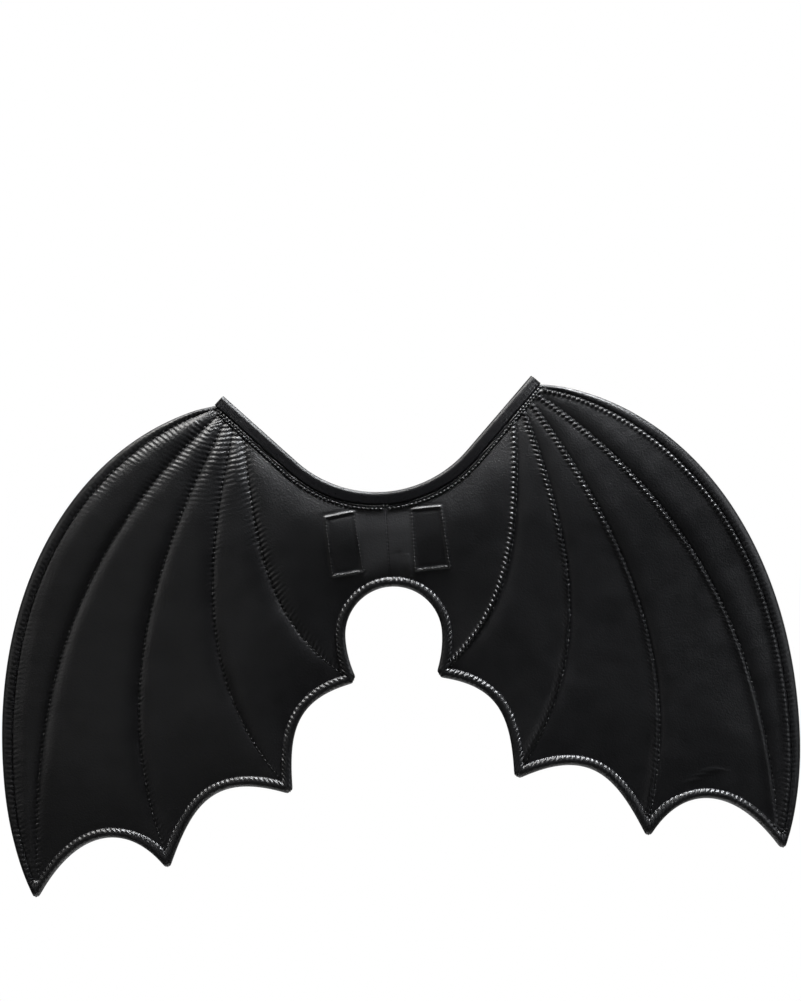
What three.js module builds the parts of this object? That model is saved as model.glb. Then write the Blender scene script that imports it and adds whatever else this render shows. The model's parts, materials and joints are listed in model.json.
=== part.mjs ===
// Bat wings worn on the back: two padded, quilted wings sewn together at the centre back,
// a binding folded over the neck scoop and two elastic arm loops sewn to the inner face.
// Millimetres, +Z up, +X to the wearer's right, -Y out of the back, +Y towards the wearer.
import * as THREE from 'three';

// Overall size of one wing, from the centre back seam
const halfSpan = 333; // centre seam to the widest point of the outer edge
const wingHeight = 407; // shoulder tip down to the outer bottom tip
const widestZ = -172; // height at which the outer edge is widest
const archCentreX = 100; // the outer edge is an oval arch about this line
const archPower = 2.1; // 2 is an ellipse, more is squarer
const archLowerHalf = 250; // how fast the outer edge curls in below its widest point

// Neck scoop: an arc at the centre that runs on into a straight line up to each shoulder tip
const scoopBottomZ = 42;
const scoopRadius = 99;
const scoopAngle = THREE.MathUtils.degToRad(45.5);
const scoopStraight = 82;

// Keyhole below the yoke: a round arch whose sides draw in towards the mouth
const keyholeRadius = 40;
const keyholeTopZ = -37;
const keyholeMouthHalf = 32;
const keyholeHeight = 77; // from the top of the arch down to the cusps

const keyholeSideShare = 0.36; // of the curve's run, spent on the side

// Padding and seams
const seamHalf = 1.5; // half the thickness along a sewn line
const frontPuff = 4.6; // how far the padding stands out of the outer face
const backPuff = 1.5; // and out of the inner face
const puffReach = 24; // the padding is full this far from a seam
const rollWidth = 8; // puffed roll along the scallops and the keyhole
const borderWidth = 10; // puffed roll along the outer edge
const borderStart = 3; // where its stitch line leaves the binding, from the shoulder tip
const rollHalf = 3.6; // half the thickness of both rolls
const edgeHalf = 1.4; // half the thickness of the turned edge
const tipBlunt = 3.5; // how far the tips are rounded off
const outerRibGap = 4.4; // between the border stitch and the first rib at the outer tip
const cornerRun = 0.4; // share of a stitch line over which it swings into its corners
const borderFoot = 0.5; // where the border stitch and the first rib end on the outer scallop,
const ribFoot = 0.9; // as shares of the roll's depth at the outer tip
const centreSeamGap = 0.3;

// How the wings stand off a flat back
const wrapDepth = 52; // the outer edges come forward round the body
const wrapPower = 2.2;
const leanDepth = 25; // the shoulder tips lean forward over the shoulders
const leanFromZ = -5;
const hemWave = 4; // the loose lower part waves in and out
const hemPitch = 150;

// Binding folded over the scoop's edge
const bindingWidth = 10.5;
const bindingWall = 1.2;
const boundHalf = 1.2; // the panel is pressed to this half thickness inside the binding
const fitGap = 0.3; // clearance between neighbouring pieces
const foldGap = 0.9; // between the panel's cut edge and the inside of the fold

// Stitched boxes on the yoke, each over the two sewn ends of an arm loop
const boxCentreX = 35;
const boxHeight = 52;
const boxMargin = 1; // the stitches run this far outside the elastic
const boxPress = 0.45; // how much of its height the padding keeps inside a box
const boxEdge = 6; // and how far from the stitches it is full again

// Arm loops of flat elastic
const strapWidth = 25;
const strapThickness = 1.5;
const loopTopZ = 105;
const loopBottomZ = -94;
const loopReach = 112; // how far forward the loop reaches round the arm
const loopOutX = 127; // the loop's middle line at the front of the shoulder
const loopLeaves = 45; // it leaves the inner face this far from the shoulder tip, under the binding
const loopClear = 3; // between its edge and the binding there
const endGap = 5; // between the two sewn ends, inside the box
const strapGap = 0.9; // the loop's ends lie this far above the fullest padding of the inner face

// The free part of a loop: shares of its way out from the box, of its reach and of half its height
const loopRoute = [
  { out: 0.94, forward: 0.4, up: 1 },
  { out: 0.98, forward: 0.74, up: 0.84 },
  { out: 1, forward: 0.96, up: 0.42 },
  { out: 1, forward: 1, up: -0.05 },
  { out: 0.97, forward: 0.95, up: -0.52 },
  { out: 0.84, forward: 0.72, up: -0.9 },
  { out: 0.58, forward: 0.4, up: -1 },
  { out: 0.29, forward: 0.16, up: -0.8 },
];

// Lower tips, as shares of the half span and of the wing height below the shoulder tip
const lowerTips = {
  middle: { span: 0.6, drop: 0.953 },
  inner: { span: 0.276, drop: 0.813 },
};

// Ribs are sewn lines from the binding to a tip. Each is a bowed line: two control points,
// as shares of its straight length, say how far along and how far outwards it is pulled.
const ribs = [
  { fromTip: 8, tip: 'outer', along1: 0.335, bow1: 0.167, along2: 0.64, bow2: 0.16 },
  { fromTip: 14.5, tip: 'middle', along1: 0.385, bow1: 0.138, along2: 0.7, bow2: 0.165 },
  { fromTip: 22.5, tip: 'inner', along1: 0.41, bow1: 0.15, along2: 0.7, bow2: 0.19 },
  { fromTip: 31, tip: 'cusp', along1: 0.44, bow1: 0.125, along2: 0.7, bow2: 0.185 },
];

// Scallops between the tips, bowed upwards in the same way
const scallops = [
  { from: 'outer', to: 'middle', along1: 0.38, bow1: 0.44, along2: 0.79, bow2: 0.47 },
  { from: 'middle', to: 'inner', along1: 0.36, bow1: 0.295, along2: 0.62, bow2: 0.45 },
  { from: 'inner', to: 'cusp', along1: 0.41, bow1: 0.285, along2: 0.655, bow2: 0.36 },
];

// Faces across each panel, from the outer edge to the centre seam, and along it
const panelCells = [5, 7, 7, 7, 11];
const rollCells = 3;
const lengthCells = 14;
const bindingCells = 44;
const strapCells = 48;

// Shares from 0 to 1 that lie closer together near both ends
function spread(cells) {
  return Array.from({ length: cells + 1 }, (_, k) => {
    const even = k / cells;
    return 0.4 * even + 0.6 * (0.5 - 0.5 * Math.cos(Math.PI * even));
  });
}

const lerp2 = (a, b, t) => a.clone().lerp(b, t);

// Rises as a quarter round from 0 at a seam to 1 at puffReach from it
function puffRise(distance) {
  const short = 1 - Math.min(Math.max(distance / puffReach, 0), 1);
  return Math.sqrt(1 - short * short);
}

// Full height away from the stitched box, pressed down inside it
function besideBox(x, z) {
  const outX = Math.abs(x - boxCentreX) - (strapWidth / 2 + boxMargin);
  const outZ = Math.abs(z) - boxHeight / 2;
  const away = THREE.MathUtils.smoothstep(Math.max(outX, outZ), 0, boxEdge);
  return boxPress + (1 - boxPress) * away;
}

// Where the middle of the wing's thickness lies
function middleY(x, z) {
  const drop = Math.max(0, (leanFromZ - z) / wingHeight);
  const rise = Math.max(0, (z - leanFromZ) / (shoulderTip.y - leanFromZ));
  const wrap = wrapDepth * (Math.abs(x) / halfSpan) ** wrapPower;
  const wave = hemWave * drop * Math.sin((2 * Math.PI * Math.abs(x)) / hemPitch);
  return wrap + leanDepth * rise * rise + wave - seamHalf - backPuff;
}

// A point at a height above the middle surface, positive towards the wearer
function onWing(x, z, height) {
  const step = 0.5;
  const slopeX = (middleY(x + step, z) - middleY(x - step, z)) / (2 * step);
  const slopeZ = (middleY(x, z + step) - middleY(x, z - step)) / (2 * step);
  const normal = new THREE.Vector3(-slopeX, 1, -slopeZ).normalize();
  return new THREE.Vector3(x, middleY(x, z), z).addScaledVector(normal, height);
}

// The scoop's edge at a distance from the centre, moved down into the panel by an inset
const arcLength = scoopRadius * scoopAngle;
const scoopLength = arcLength + scoopStraight;
function scoopPoint(distance, inset) {
  const side = Math.sign(distance) || 1;
  const along = Math.abs(distance);
  const angle = Math.min(along / scoopRadius, scoopAngle);
  const straight = Math.max(0, along - arcLength);
  const radius = scoopRadius + inset;
  return new THREE.Vector2(
    side * (radius * Math.sin(angle) + straight * Math.cos(angle)),
    scoopBottomZ + scoopRadius - radius * Math.cos(angle) + straight * Math.sin(angle),
  );
}
const shoulderTip = scoopPoint(scoopLength, 0);
const shoulderCorner = scoopPoint(scoopLength, bindingWidth);

// Outer edge: an oval arch through the binding's corner, |x|^n + |z|^n = 1 in its own shares
class OuterEdge extends THREE.Curve {
  constructor() {
    super();
    this.halfWidth = halfSpan - archCentreX;
    const side = Math.abs((shoulderCorner.x - archCentreX) / this.halfWidth) ** archPower;
    this.upperHalf = (shoulderCorner.y - widestZ) / (1 - side) ** (1 / archPower);
    this.bottomZ = shoulderTip.y - wingHeight - tipBlunt;
  }

  xAt(z) {
    const half = z > widestZ ? this.upperHalf : archLowerHalf;
    const share = Math.abs((z - widestZ) / half) ** archPower;
    return archCentreX + this.halfWidth * (1 - share) ** (1 / archPower);
  }

  getPoint(t, target = new THREE.Vector2()) {
    const ease = t < 0.5 ? 2 * t * t : 1 - 2 * (1 - t) * (1 - t);
    const z = shoulderCorner.y + (this.bottomZ - shoulderCorner.y) * (0.5 * t + 0.5 * ease);
    return target.set(this.xAt(z), z);
  }
}

// A stretch of another curve, by shares of its length
class Stretch extends THREE.Curve {
  constructor(curve, from, to) {
    super();
    Object.assign(this, { curve, from, to });
  }

  getPoint(t, target = new THREE.Vector2()) {
    return target.copy(this.curve.getPointAt(this.from + (this.to - this.from) * t));
  }
}

// A curve moved into the panel by a width, with its two ends drawn to given corners
class Inset extends THREE.Curve {
  constructor(curve, width, start, end) {
    super();
    Object.assign(this, { curve, width });
    this.startShift = start.clone().sub(this.moved(0));
    this.endShift = end.clone().sub(this.moved(1));
  }

  moved(t) {
    const tangent = this.curve.getTangentAt(t);
    const point = this.curve.getPointAt(t);
    return new THREE.Vector2(point.x + this.width * tangent.y, point.y - this.width * tangent.x);
  }

  getPoint(t, target = new THREE.Vector2()) {
    const nearStart = Math.max(0, 1 - t / cornerRun) ** 2;
    const nearEnd = Math.max(0, 1 - (1 - t) / cornerRun) ** 2;
    return target
      .copy(this.moved(t))
      .addScaledVector(this.startShift, nearStart)
      .addScaledVector(this.endShift, nearEnd);
  }
}

// Keyhole edge from the cusp up its side and over the arch to the centre seam
class KeyholeEdge extends THREE.Curve {
  getPoint(t, target = new THREE.Vector2()) {
    const centreZ = keyholeTopZ - keyholeRadius;
    const mouthZ = keyholeTopZ - keyholeHeight;
    if (t < keyholeSideShare) {
      const up = t / keyholeSideShare;
      const out = keyholeMouthHalf + (keyholeRadius - keyholeMouthHalf) * up * (2 - up);
      return target.set(out, mouthZ + (centreZ - mouthZ) * up);
    }
    const angle = ((t - keyholeSideShare) / (1 - keyholeSideShare)) * (Math.PI / 2);
    return target.set(keyholeRadius * Math.cos(angle), centreZ + keyholeRadius * Math.sin(angle));
  }
}

// A line between two points, bowed to the side that bowSide gives
function bowed(from, to, row, bowSide) {
  const chord = to.clone().sub(from);
  const out = new THREE.Vector2(-chord.y, chord.x).multiplyScalar(bowSide);
  const control = (along, bow) => from.clone().addScaledVector(chord, along).addScaledVector(out, bow);
  return new THREE.CubicBezierCurve(
    from,
    control(row.along1, row.bow1),
    control(row.along2, row.bow2),
    to,
  );
}

// Where two edges that leave a tip are both a roll's width away, on the line between them
function stitchCorner(tip, leaveA, leaveB) {
  const middle = leaveA.clone().add(leaveB).normalize();
  const half = Math.acos(THREE.MathUtils.clamp(middle.dot(leaveA), -1, 1));
  return tip.clone().addScaledVector(middle, rollWidth / Math.sin(half));
}

// Flat outline and seams of the right wing
const outerEdge = new OuterEdge();
const keyholeEdge = new KeyholeEdge();
const tipAt = (row) =>
  new THREE.Vector2(row.span * halfSpan, shoulderTip.y - row.drop * wingHeight - tipBlunt);
const tips = {
  outer: outerEdge.getPoint(1),
  middle: tipAt(lowerTips.middle),
  inner: tipAt(lowerTips.inner),
  cusp: keyholeEdge.getPoint(0),
};
const scallopCurves = scallops.map((row) => bowed(tips[row.from], tips[row.to], row, -1));
const leaving = (curve, atEnd) => curve.getTangentAt(atEnd ? 1 : 0).multiplyScalar(atEnd ? -1 : 1);
const corners = {
  outer: stitchCorner(tips.outer, leaving(outerEdge, true), leaving(scallopCurves[0], false)),
  middle: stitchCorner(tips.middle, leaving(scallopCurves[0], true), leaving(scallopCurves[1], false)),
  inner: stitchCorner(tips.inner, leaving(scallopCurves[1], true), leaving(scallopCurves[2], false)),
  cusp: stitchCorner(tips.cusp, leaving(scallopCurves[2], true), leaving(keyholeEdge, false)),
};
const sideways = new THREE.Vector2(outerRibGap / 2, 0);
const borderEnd = corners.outer.clone().add(sideways);
const outerRibEnd = corners.outer.clone().sub(sideways);

// Shares of the outer edge and of the outer scallop at which the two rolls meet the tip
const tipReach = corners.outer.distanceTo(tips.outer);
const edgeShare = 1 - tipReach / outerEdge.getLength();
const borderShare = (borderFoot * tipReach) / scallopCurves[0].getLength();
const ribShare = (ribFoot * tipReach) / scallopCurves[0].getLength();

const seamLow = bindingWidth + fitGap; // the panel comes free of the binding here
const borderTop = scoopPoint(scoopLength - borderStart, seamLow);
const borderRun = new Stretch(outerEdge, 0, edgeShare);
const keyholeSeamTop = new THREE.Vector2(0, keyholeTopZ + rollWidth);
const ribLines = ribs.map((row) => {
  const end = row.tip === 'outer' ? outerRibEnd : corners[row.tip];
  return bowed(scoopPoint(scoopLength - row.fromTip, seamLow), end, row, 1);
});

// Lines that run down the wing, from the binding to the stitch line above the lower edge
const seamLines = [
  new Inset(borderRun, borderWidth, borderTop, borderEnd),
  ...ribLines,
  new THREE.LineCurve(scoopPoint(0, seamLow), keyholeSeamTop),
];
const seamStarts = [borderStart, ...ribs.map((row) => row.fromTip), scoopLength];
const tipLines = [2, 3, 4]; // the seams that run into the middle and inner tips and the cusp

// Lower edge of each panel, and the stitch line of the roll above it
const lowerEdges = [
  new Stretch(scallopCurves[0], borderShare, ribShare),
  new Stretch(scallopCurves[0], ribShare, 1),
  scallopCurves[1],
  scallopCurves[2],
  keyholeEdge,
];
const lowerSeams = [
  new THREE.LineCurve(borderEnd, outerRibEnd),
  new Inset(lowerEdges[1], rollWidth, outerRibEnd, corners.middle),
  new Inset(lowerEdges[2], rollWidth, corners.middle, corners.inner),
  new Inset(lowerEdges[3], rollWidth, corners.inner, corners.cusp),
  new Inset(lowerEdges[4], rollWidth, corners.cusp, keyholeSeamTop),
];

// A point of a panel blended between its four sides: two seams, the binding and the lower seam
function panelPoint(panel, across, down) {
  const [left, right] = [seamLines[panel], seamLines[panel + 1]];
  const top = (t) =>
    scoopPoint(scoopLength - THREE.MathUtils.lerp(seamStarts[panel], seamStarts[panel + 1], t), seamLow);
  const bottom = lowerSeams[panel];
  const sides = lerp2(left.getPointAt(down), right.getPointAt(down), across);
  const ends = lerp2(top(across), bottom.getPointAt(across), down);
  const topCorners = lerp2(top(0), top(1), across);
  const bottomCorners = lerp2(bottom.getPoint(0), bottom.getPoint(1), across);
  return sides.add(ends).sub(lerp2(topCorners, bottomCorners, down));
}

// One column of the wing from the scoop to the lower edge. Each stop has its place, how full
// the panel's padding is and how far across a roll it lies (0 at the stitch, 1 at the edge).
function column({ panel, across, roll }) {
  const stops = [];
  const add = (point, puff, rolled) => stops.push({ point, puff, rolled });
  const start = THREE.MathUtils.lerp(seamStarts[panel], seamStarts[panel + 1], across);
  const topAt = (inset) =>
    scoopPoint(scoopLength - fitGap - (start - fitGap) * (1 - roll), inset);
  add(topAt(bindingWall + foldGap), 0, 0);
  const [left, right] = [seamLines[panel], seamLines[panel + 1]];
  const length = THREE.MathUtils.lerp(left.getLength(), right.getLength(), across);
  for (const down of spread(lengthCells)) {
    const width = left.getPointAt(down).distanceTo(right.getPointAt(down));
    const sewn = panelPoint(panel, across, down);
    const side = puffRise(Math.min(across, 1 - across) * width);
    const ends = puffRise(down * length) * puffRise((1 - down) * length);
    const point = lerp2(sewn, outerEdge.getPointAt(down * edgeShare), roll);
    add(point, side * ends * besideBox(sewn.x, sewn.y), down === 0 ? 0 : roll);
  }
  const seam = lerp2(lowerSeams[panel].getPointAt(across), outerEdge.getPointAt(edgeShare), roll);
  const edge =
    roll > 0 ? scallopCurves[0].getPointAt(borderShare * (1 - roll)) : lowerEdges[panel].getPointAt(across);
  const endsInTip = roll === 1 || (roll === 0 && tipLines.includes(panel + across));
  if (endsInTip) edge.addScaledVector(seam.clone().sub(edge).normalize(), tipBlunt);
  for (let k = 1; k <= rollCells; k += 1) {
    const rolled = k / rollCells;
    add(lerp2(seam, edge, rolled), 0, Math.max(rolled, roll));
  }
  return stops;
}

// All columns: the outer roll, then panel after panel, sharing the seams between them
function wingColumns() {
  const columns = [];
  for (let k = rollCells; k > 0; k -= 1) columns.push(column({ panel: 0, across: 0, roll: k / rollCells }));
  panelCells.forEach((cells, panel) => {
    spread(cells).forEach((across, k) => {
      if (panel === 0 || k > 0) columns.push(column({ panel, across, roll: 0 }));
    });
  });
  return columns;
}

// Half thickness on one face: sewn lines are thin, panels and rolls are padded. The panel is
// pressed flat in the binding, and a roll thins to its turned edge.
function halfThickness(stop, row, puff) {
  if (row < 2) return boundHalf;
  if (stop.rolled > 0) {
    const base = THREE.MathUtils.lerp(seamHalf, edgeHalf, stop.rolled);
    return base + (rollHalf - seamHalf) * Math.sin(Math.PI * stop.rolled) ** 0.7;
  }
  return seamHalf + puff * stop.puff;
}

// Closed solid between two grids of points that share their outline
function gridSolid(front, back) {
  const across = front.length;
  const down = front[0].length;
  const positions = [];
  for (const grid of [front, back]) {
    for (const line of grid) for (const p of line) positions.push(p.x, p.y, p.z);
  }
  const at = (face, i, j) => face * across * down + i * down + j;
  const index = [];
  const quad = (a, b, c, d) => index.push(a, b, c, a, c, d);
  for (let i = 0; i < across - 1; i += 1) {
    for (let j = 0; j < down - 1; j += 1) {
      quad(at(0, i, j), at(0, i + 1, j), at(0, i + 1, j + 1), at(0, i, j + 1));
      quad(at(1, i, j), at(1, i, j + 1), at(1, i + 1, j + 1), at(1, i + 1, j));
    }
  }
  const wall = (i, j, iNext, jNext) =>
    quad(at(0, i, j), at(0, iNext, jNext), at(1, iNext, jNext), at(1, i, j));
  for (let i = 0; i < across - 1; i += 1) {
    wall(i + 1, 0, i, 0);
    wall(i, down - 1, i + 1, down - 1);
  }
  for (let j = 0; j < down - 1; j += 1) {
    wall(0, j, 0, j + 1);
    wall(across - 1, j + 1, across - 1, j);
  }
  return facingOut(positions, index);
}

// Closed solid through rings of points, with the same flat section at both ends
function sweptSolid(rings, section) {
  const count = section.length;
  const positions = rings.flatMap((ring) => ring.flatMap((p) => [p.x, p.y, p.z]));
  const index = [];
  for (let r = 0; r < rings.length - 1; r += 1) {
    for (let k = 0; k < count; k += 1) {
      const [a, b] = [r * count + k, r * count + ((k + 1) % count)];
      index.push(a, b, b + count, a, b + count, a + count);
    }
  }
  const last = (rings.length - 1) * count;
  const turn = THREE.ShapeUtils.isClockWise(section) ? 1 : -1;
  for (const [a, b, c] of THREE.ShapeUtils.triangulateShape(section, [])) {
    index.push(...(turn > 0 ? [a, b, c] : [a, c, b]));
    index.push(...(turn > 0 ? [last + a, last + c, last + b] : [last + a, last + b, last + c]));
  }
  return facingOut(positions, index);
}

// Geometry whose faces all point outwards: turned over if its signed volume is negative
function facingOut(positions, index) {
  const p = (k) => new THREE.Vector3(...positions.slice(3 * k, 3 * k + 3));
  let volume = 0;
  for (let k = 0; k < index.length; k += 3) {
    volume += p(index[k]).dot(p(index[k + 1]).cross(p(index[k + 2])));
  }
  const faces = volume > 0 ? index : index.slice().reverse();
  const geometry = new THREE.BufferGeometry();
  geometry.setAttribute('position', new THREE.Float32BufferAttribute(positions, 3));
  geometry.setIndex(faces);
  geometry.computeVertexNormals();
  return geometry;
}

function wingGeometry(side) {
  const columns = wingColumns();
  const face = (direction, puff) =>
    columns.map((stops) =>
      stops.map((stop, row) => {
        const x = Math.max(stop.point.x, centreSeamGap / 2);
        const point = onWing(x, stop.point.y, direction * halfThickness(stop, row, puff));
        return point.multiply(new THREE.Vector3(side, 1, 1));
      }),
    );
  return gridSolid(face(-1, frontPuff), face(1, backPuff));
}

// Binding: a folded strip round the scoop's edge, from one shoulder tip to the other
function bindingGeometry() {
  const inner = boundHalf + fitGap;
  const outer = inner + bindingWall;
  const fold = 0.5 * bindingWall;
  const section = [
    [outer, bindingWidth],
    [outer, fold],
    [outer - fold, 0],
    [fold - outer, 0],
    [-outer, fold],
    [-outer, bindingWidth],
    [-inner, bindingWidth],
    [-inner, bindingWall],
    [inner, bindingWall],
    [inner, bindingWidth],
  ].map(([height, inset]) => new THREE.Vector2(height, inset));
  const rings = Array.from({ length: bindingCells + 1 }, (_, k) => {
    const distance = scoopLength * ((2 * k) / bindingCells - 1);
    return section.map(({ x: height, y: inset }) => {
      const flat = scoopPoint(distance, inset);
      return onWing(flat.x, flat.y, height);
    });
  });
  return sweptSolid(rings, section);
}

// Arm loop: from the stitched box up the inner face and over the shoulder, down in front of
// the arm, back under it and up to the box again
function strapGeometry(side) {
  const lift = seamHalf + backPuff + strapGap + strapThickness / 2;
  const leave = scoopPoint(scoopLength - loopLeaves, bindingWidth + strapWidth / 2 + loopClear);
  const boxTop = boxHeight / 2;
  const onBack = (x, z) => onWing(x, z, lift);
  const upTheBack = (share) =>
    onBack(boxCentreX + share * (leave.x - boxCentreX), boxTop + share * (leave.y - boxTop));
  const loopMiddleZ = (loopTopZ + loopBottomZ) / 2;
  const loopHalfZ = (loopTopZ - loopBottomZ) / 2;
  const freePart = loopRoute.map(
    ({ out, forward, up }) =>
      new THREE.Vector3(
        boxCentreX + out * (loopOutX - boxCentreX),
        forward * loopReach,
        loopMiddleZ + up * loopHalfZ,
      ),
  );
  const route = new THREE.CatmullRomCurve3(
    [
      onBack(boxCentreX, endGap / 2),
      onBack(boxCentreX, boxTop / 2),
      ...[0, 0.2, 0.4, 0.6, 0.8, 0.94, 1].map(upTheBack),
      onWing(leave.x + strapWidth / 8, leave.y + strapWidth / 4, lift + strapWidth / 8),
      ...freePart,
      onWing(boxCentreX + 6, -1.5 * boxTop, lift + strapWidth / 16),
      onBack(boxCentreX + 2, -1.2 * boxTop),
      onBack(boxCentreX + 1, -boxTop),
      onBack(boxCentreX, -boxTop / 2),
      onBack(boxCentreX, -endGap / 2),
    ],
    false,
    'centripetal',
  );
  const section = [
    [-1, -1],
    [1, -1],
    [1, 1],
    [-1, 1],
  ].map(([w, h]) => new THREE.Vector2((w * strapWidth) / 2, (h * strapThickness) / 2));
  const rings = Array.from({ length: strapCells + 1 }, (_, k) => {
    const centre = route.getPointAt(k / strapCells);
    const tangent = route.getTangentAt(k / strapCells);
    const slope = middleY(centre.x + 0.5, centre.z) - middleY(centre.x - 0.5, centre.z);
    const lateral = new THREE.Vector3(1, slope, 0);
    const wide = lateral.clone().addScaledVector(tangent, -lateral.dot(tangent)).normalize();
    const thick = new THREE.Vector3().crossVectors(tangent, wide);
    return section.map(({ x: w, y: h }) =>
      centre
        .clone()
        .addScaledVector(wide, w)
        .addScaledVector(thick, h)
        .multiply(new THREE.Vector3(side, 1, 1)),
    );
  });
  return sweptSolid(rings, section);
}

const blackLeather = new THREE.MeshStandardMaterial({ color: 0x1d1c20, roughness: 0.45, metalness: 0 });
const blackTape = new THREE.MeshStandardMaterial({ color: 0x121116, roughness: 0.9, metalness: 0 });
const blackElastic = new THREE.MeshStandardMaterial({ color: 0x141318, roughness: 0.95, metalness: 0 });

function named(name, geometry, material) {
  const mesh = new THREE.Mesh(geometry, material);
  mesh.name = name;
  return mesh;
}

const batWings = new THREE.Group();
batWings.add(
  named('wing_left', wingGeometry(-1), blackLeather),
  named('wing_right', wingGeometry(1), blackLeather),
  named('neck_binding', bindingGeometry(), blackTape),
  named('strap_left', strapGeometry(-1), blackElastic),
  named('strap_right', strapGeometry(1), blackElastic),
);

export default batWings;
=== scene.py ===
import json
import math

import bpy
import numpy as np
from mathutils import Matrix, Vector

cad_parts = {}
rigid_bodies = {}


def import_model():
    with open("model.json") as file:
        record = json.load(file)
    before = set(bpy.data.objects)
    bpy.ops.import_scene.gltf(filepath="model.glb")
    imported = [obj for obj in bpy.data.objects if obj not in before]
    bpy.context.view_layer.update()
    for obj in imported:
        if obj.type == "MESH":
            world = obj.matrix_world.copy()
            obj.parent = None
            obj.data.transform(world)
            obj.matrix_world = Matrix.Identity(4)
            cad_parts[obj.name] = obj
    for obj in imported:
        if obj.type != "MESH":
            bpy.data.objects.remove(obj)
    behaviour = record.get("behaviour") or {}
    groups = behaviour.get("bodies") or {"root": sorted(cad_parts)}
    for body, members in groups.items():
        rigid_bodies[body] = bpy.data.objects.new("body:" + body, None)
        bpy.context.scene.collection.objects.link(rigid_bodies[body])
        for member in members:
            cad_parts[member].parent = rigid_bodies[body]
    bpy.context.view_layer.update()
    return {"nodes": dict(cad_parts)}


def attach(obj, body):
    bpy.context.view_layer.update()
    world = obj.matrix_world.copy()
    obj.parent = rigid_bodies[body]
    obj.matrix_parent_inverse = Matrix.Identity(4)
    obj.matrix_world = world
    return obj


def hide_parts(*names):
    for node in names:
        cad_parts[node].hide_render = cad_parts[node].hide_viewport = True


# Black padded bat wings for the back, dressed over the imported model.
# Lengths are in millimetres here and become metres where a mesh is made.
for old in list(bpy.data.objects):
    bpy.data.objects.remove(old)
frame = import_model()
tau = 2 * math.pi
print("frame loaded:", ", ".join(sorted(frame["nodes"])))

# The cut of the wings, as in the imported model
cut = {
    "halfSpan": 333, "wingHeight": 407, "widestZ": -172, "archCentreX": 100, "archPower": 2.1,
    "archLowerHalf": 250, "scoopBottomZ": 42, "scoopRadius": 99, "scoopAngle": math.radians(45.5),
    "scoopStraight": 82, "keyholeRadius": 40, "keyholeTopZ": -37, "keyholeMouthHalf": 32,
    "keyholeHeight": 77, "keyholeSideShare": 0.36, "rollWidth": 8, "borderWidth": 10,
    "borderStart": 3, "tipBlunt": 3.5, "outerRibGap": 4.4, "cornerRun": 0.4, "borderFoot": 0.5,
    "ribFoot": 0.9, "bindingWidth": 10.5, "fitGap": 0.3, "cutEdgeInset": 2.1,
}
stance = {  # how the wings stand off a flat back
    "wrapDepth": 52, "wrapPower": 2.2, "leanDepth": 25, "leanFromZ": -5, "hemWave": 4, "hemPitch": 150,
    "backOffset": 3.0,
}
ribRows = [
    {"fromTip": 8, "along": (0.335, 0.64), "bow": (0.167, 0.16)},
    {"fromTip": 14.5, "along": (0.385, 0.7), "bow": (0.138, 0.165)},
    {"fromTip": 22.5, "along": (0.41, 0.7), "bow": (0.15, 0.19)},
    {"fromTip": 31, "along": (0.44, 0.7), "bow": (0.125, 0.185)},
]
scallopRows = [
    {"along": (0.38, 0.79), "bow": (0.44, 0.47)},
    {"along": (0.36, 0.62), "bow": (0.295, 0.45)},
    {"along": (0.41, 0.655), "bow": (0.285, 0.36)},
]
tipNames = ("outer", "middle", "inner", "cusp")
lowerTips = {"middle": (0.6, 0.953), "inner": (0.276, 0.813)}  # shares of the half span and of the height
lineCount = 900  # points in each flat line, evenly spaced
rawCount = 2000  # points in a curve before it is spaced evenly


# Flat lines: arrays of (x, z), spaced evenly by length

def runOf(line):
    return np.concatenate([[0], np.cumsum(np.hypot(*np.diff(line, axis=0).T))])


def sampled(line, run, goal):
    return np.stack([np.interp(goal, run, axis) for axis in line.T], -1)


def evenly(line, count=lineCount):
    run = runOf(line)
    return sampled(line, run, np.linspace(0, run[-1], count))


def along(line, share):
    return sampled(line, np.arange(len(line)), np.asarray(share, float) * (len(line) - 1))


def stretch(line, start, end):
    return evenly(along(line, np.linspace(start, end, lineCount)))


def lengthOf(line):
    return float(np.hypot(*np.diff(line, axis=0).T).sum())


def unit(vectors):
    return vectors / np.linalg.norm(vectors, axis=-1, keepdims=True)


def tangentsOf(line):
    return unit(np.gradient(line, axis=0))


def mix(a, b, share):
    return a + (b - a) * share


def eased(value, low, high):
    t = np.clip((value - low) / (high - low), 0, 1)
    return t * t * (3 - 2 * t)


def bell(value, width):
    return np.exp(-((value / width) ** 2))


# Scoop edge at a distance from the centre: an arc, then its tangent line, moved down by an inset
def scoopPoint(distance, inset):
    distance, inset = np.broadcast_arrays(np.asarray(distance, float), np.asarray(inset, float))
    size = np.abs(distance)
    angle = np.minimum(size / cut["scoopRadius"], cut["scoopAngle"])
    straight = np.maximum(0, size - cut["scoopRadius"] * cut["scoopAngle"])
    radius = cut["scoopRadius"] + inset
    x = np.where(distance < 0, -1, 1) * (radius * np.sin(angle) + straight * np.cos(angle))
    z = cut["scoopBottomZ"] + cut["scoopRadius"] - radius * np.cos(angle) + straight * np.sin(angle)
    return np.stack([x, z], -1)


scoopLength = cut["scoopRadius"] * cut["scoopAngle"] + cut["scoopStraight"]
shoulderTip = scoopPoint(scoopLength, 0)
shoulderCorner = scoopPoint(scoopLength, cut["bindingWidth"])


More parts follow.
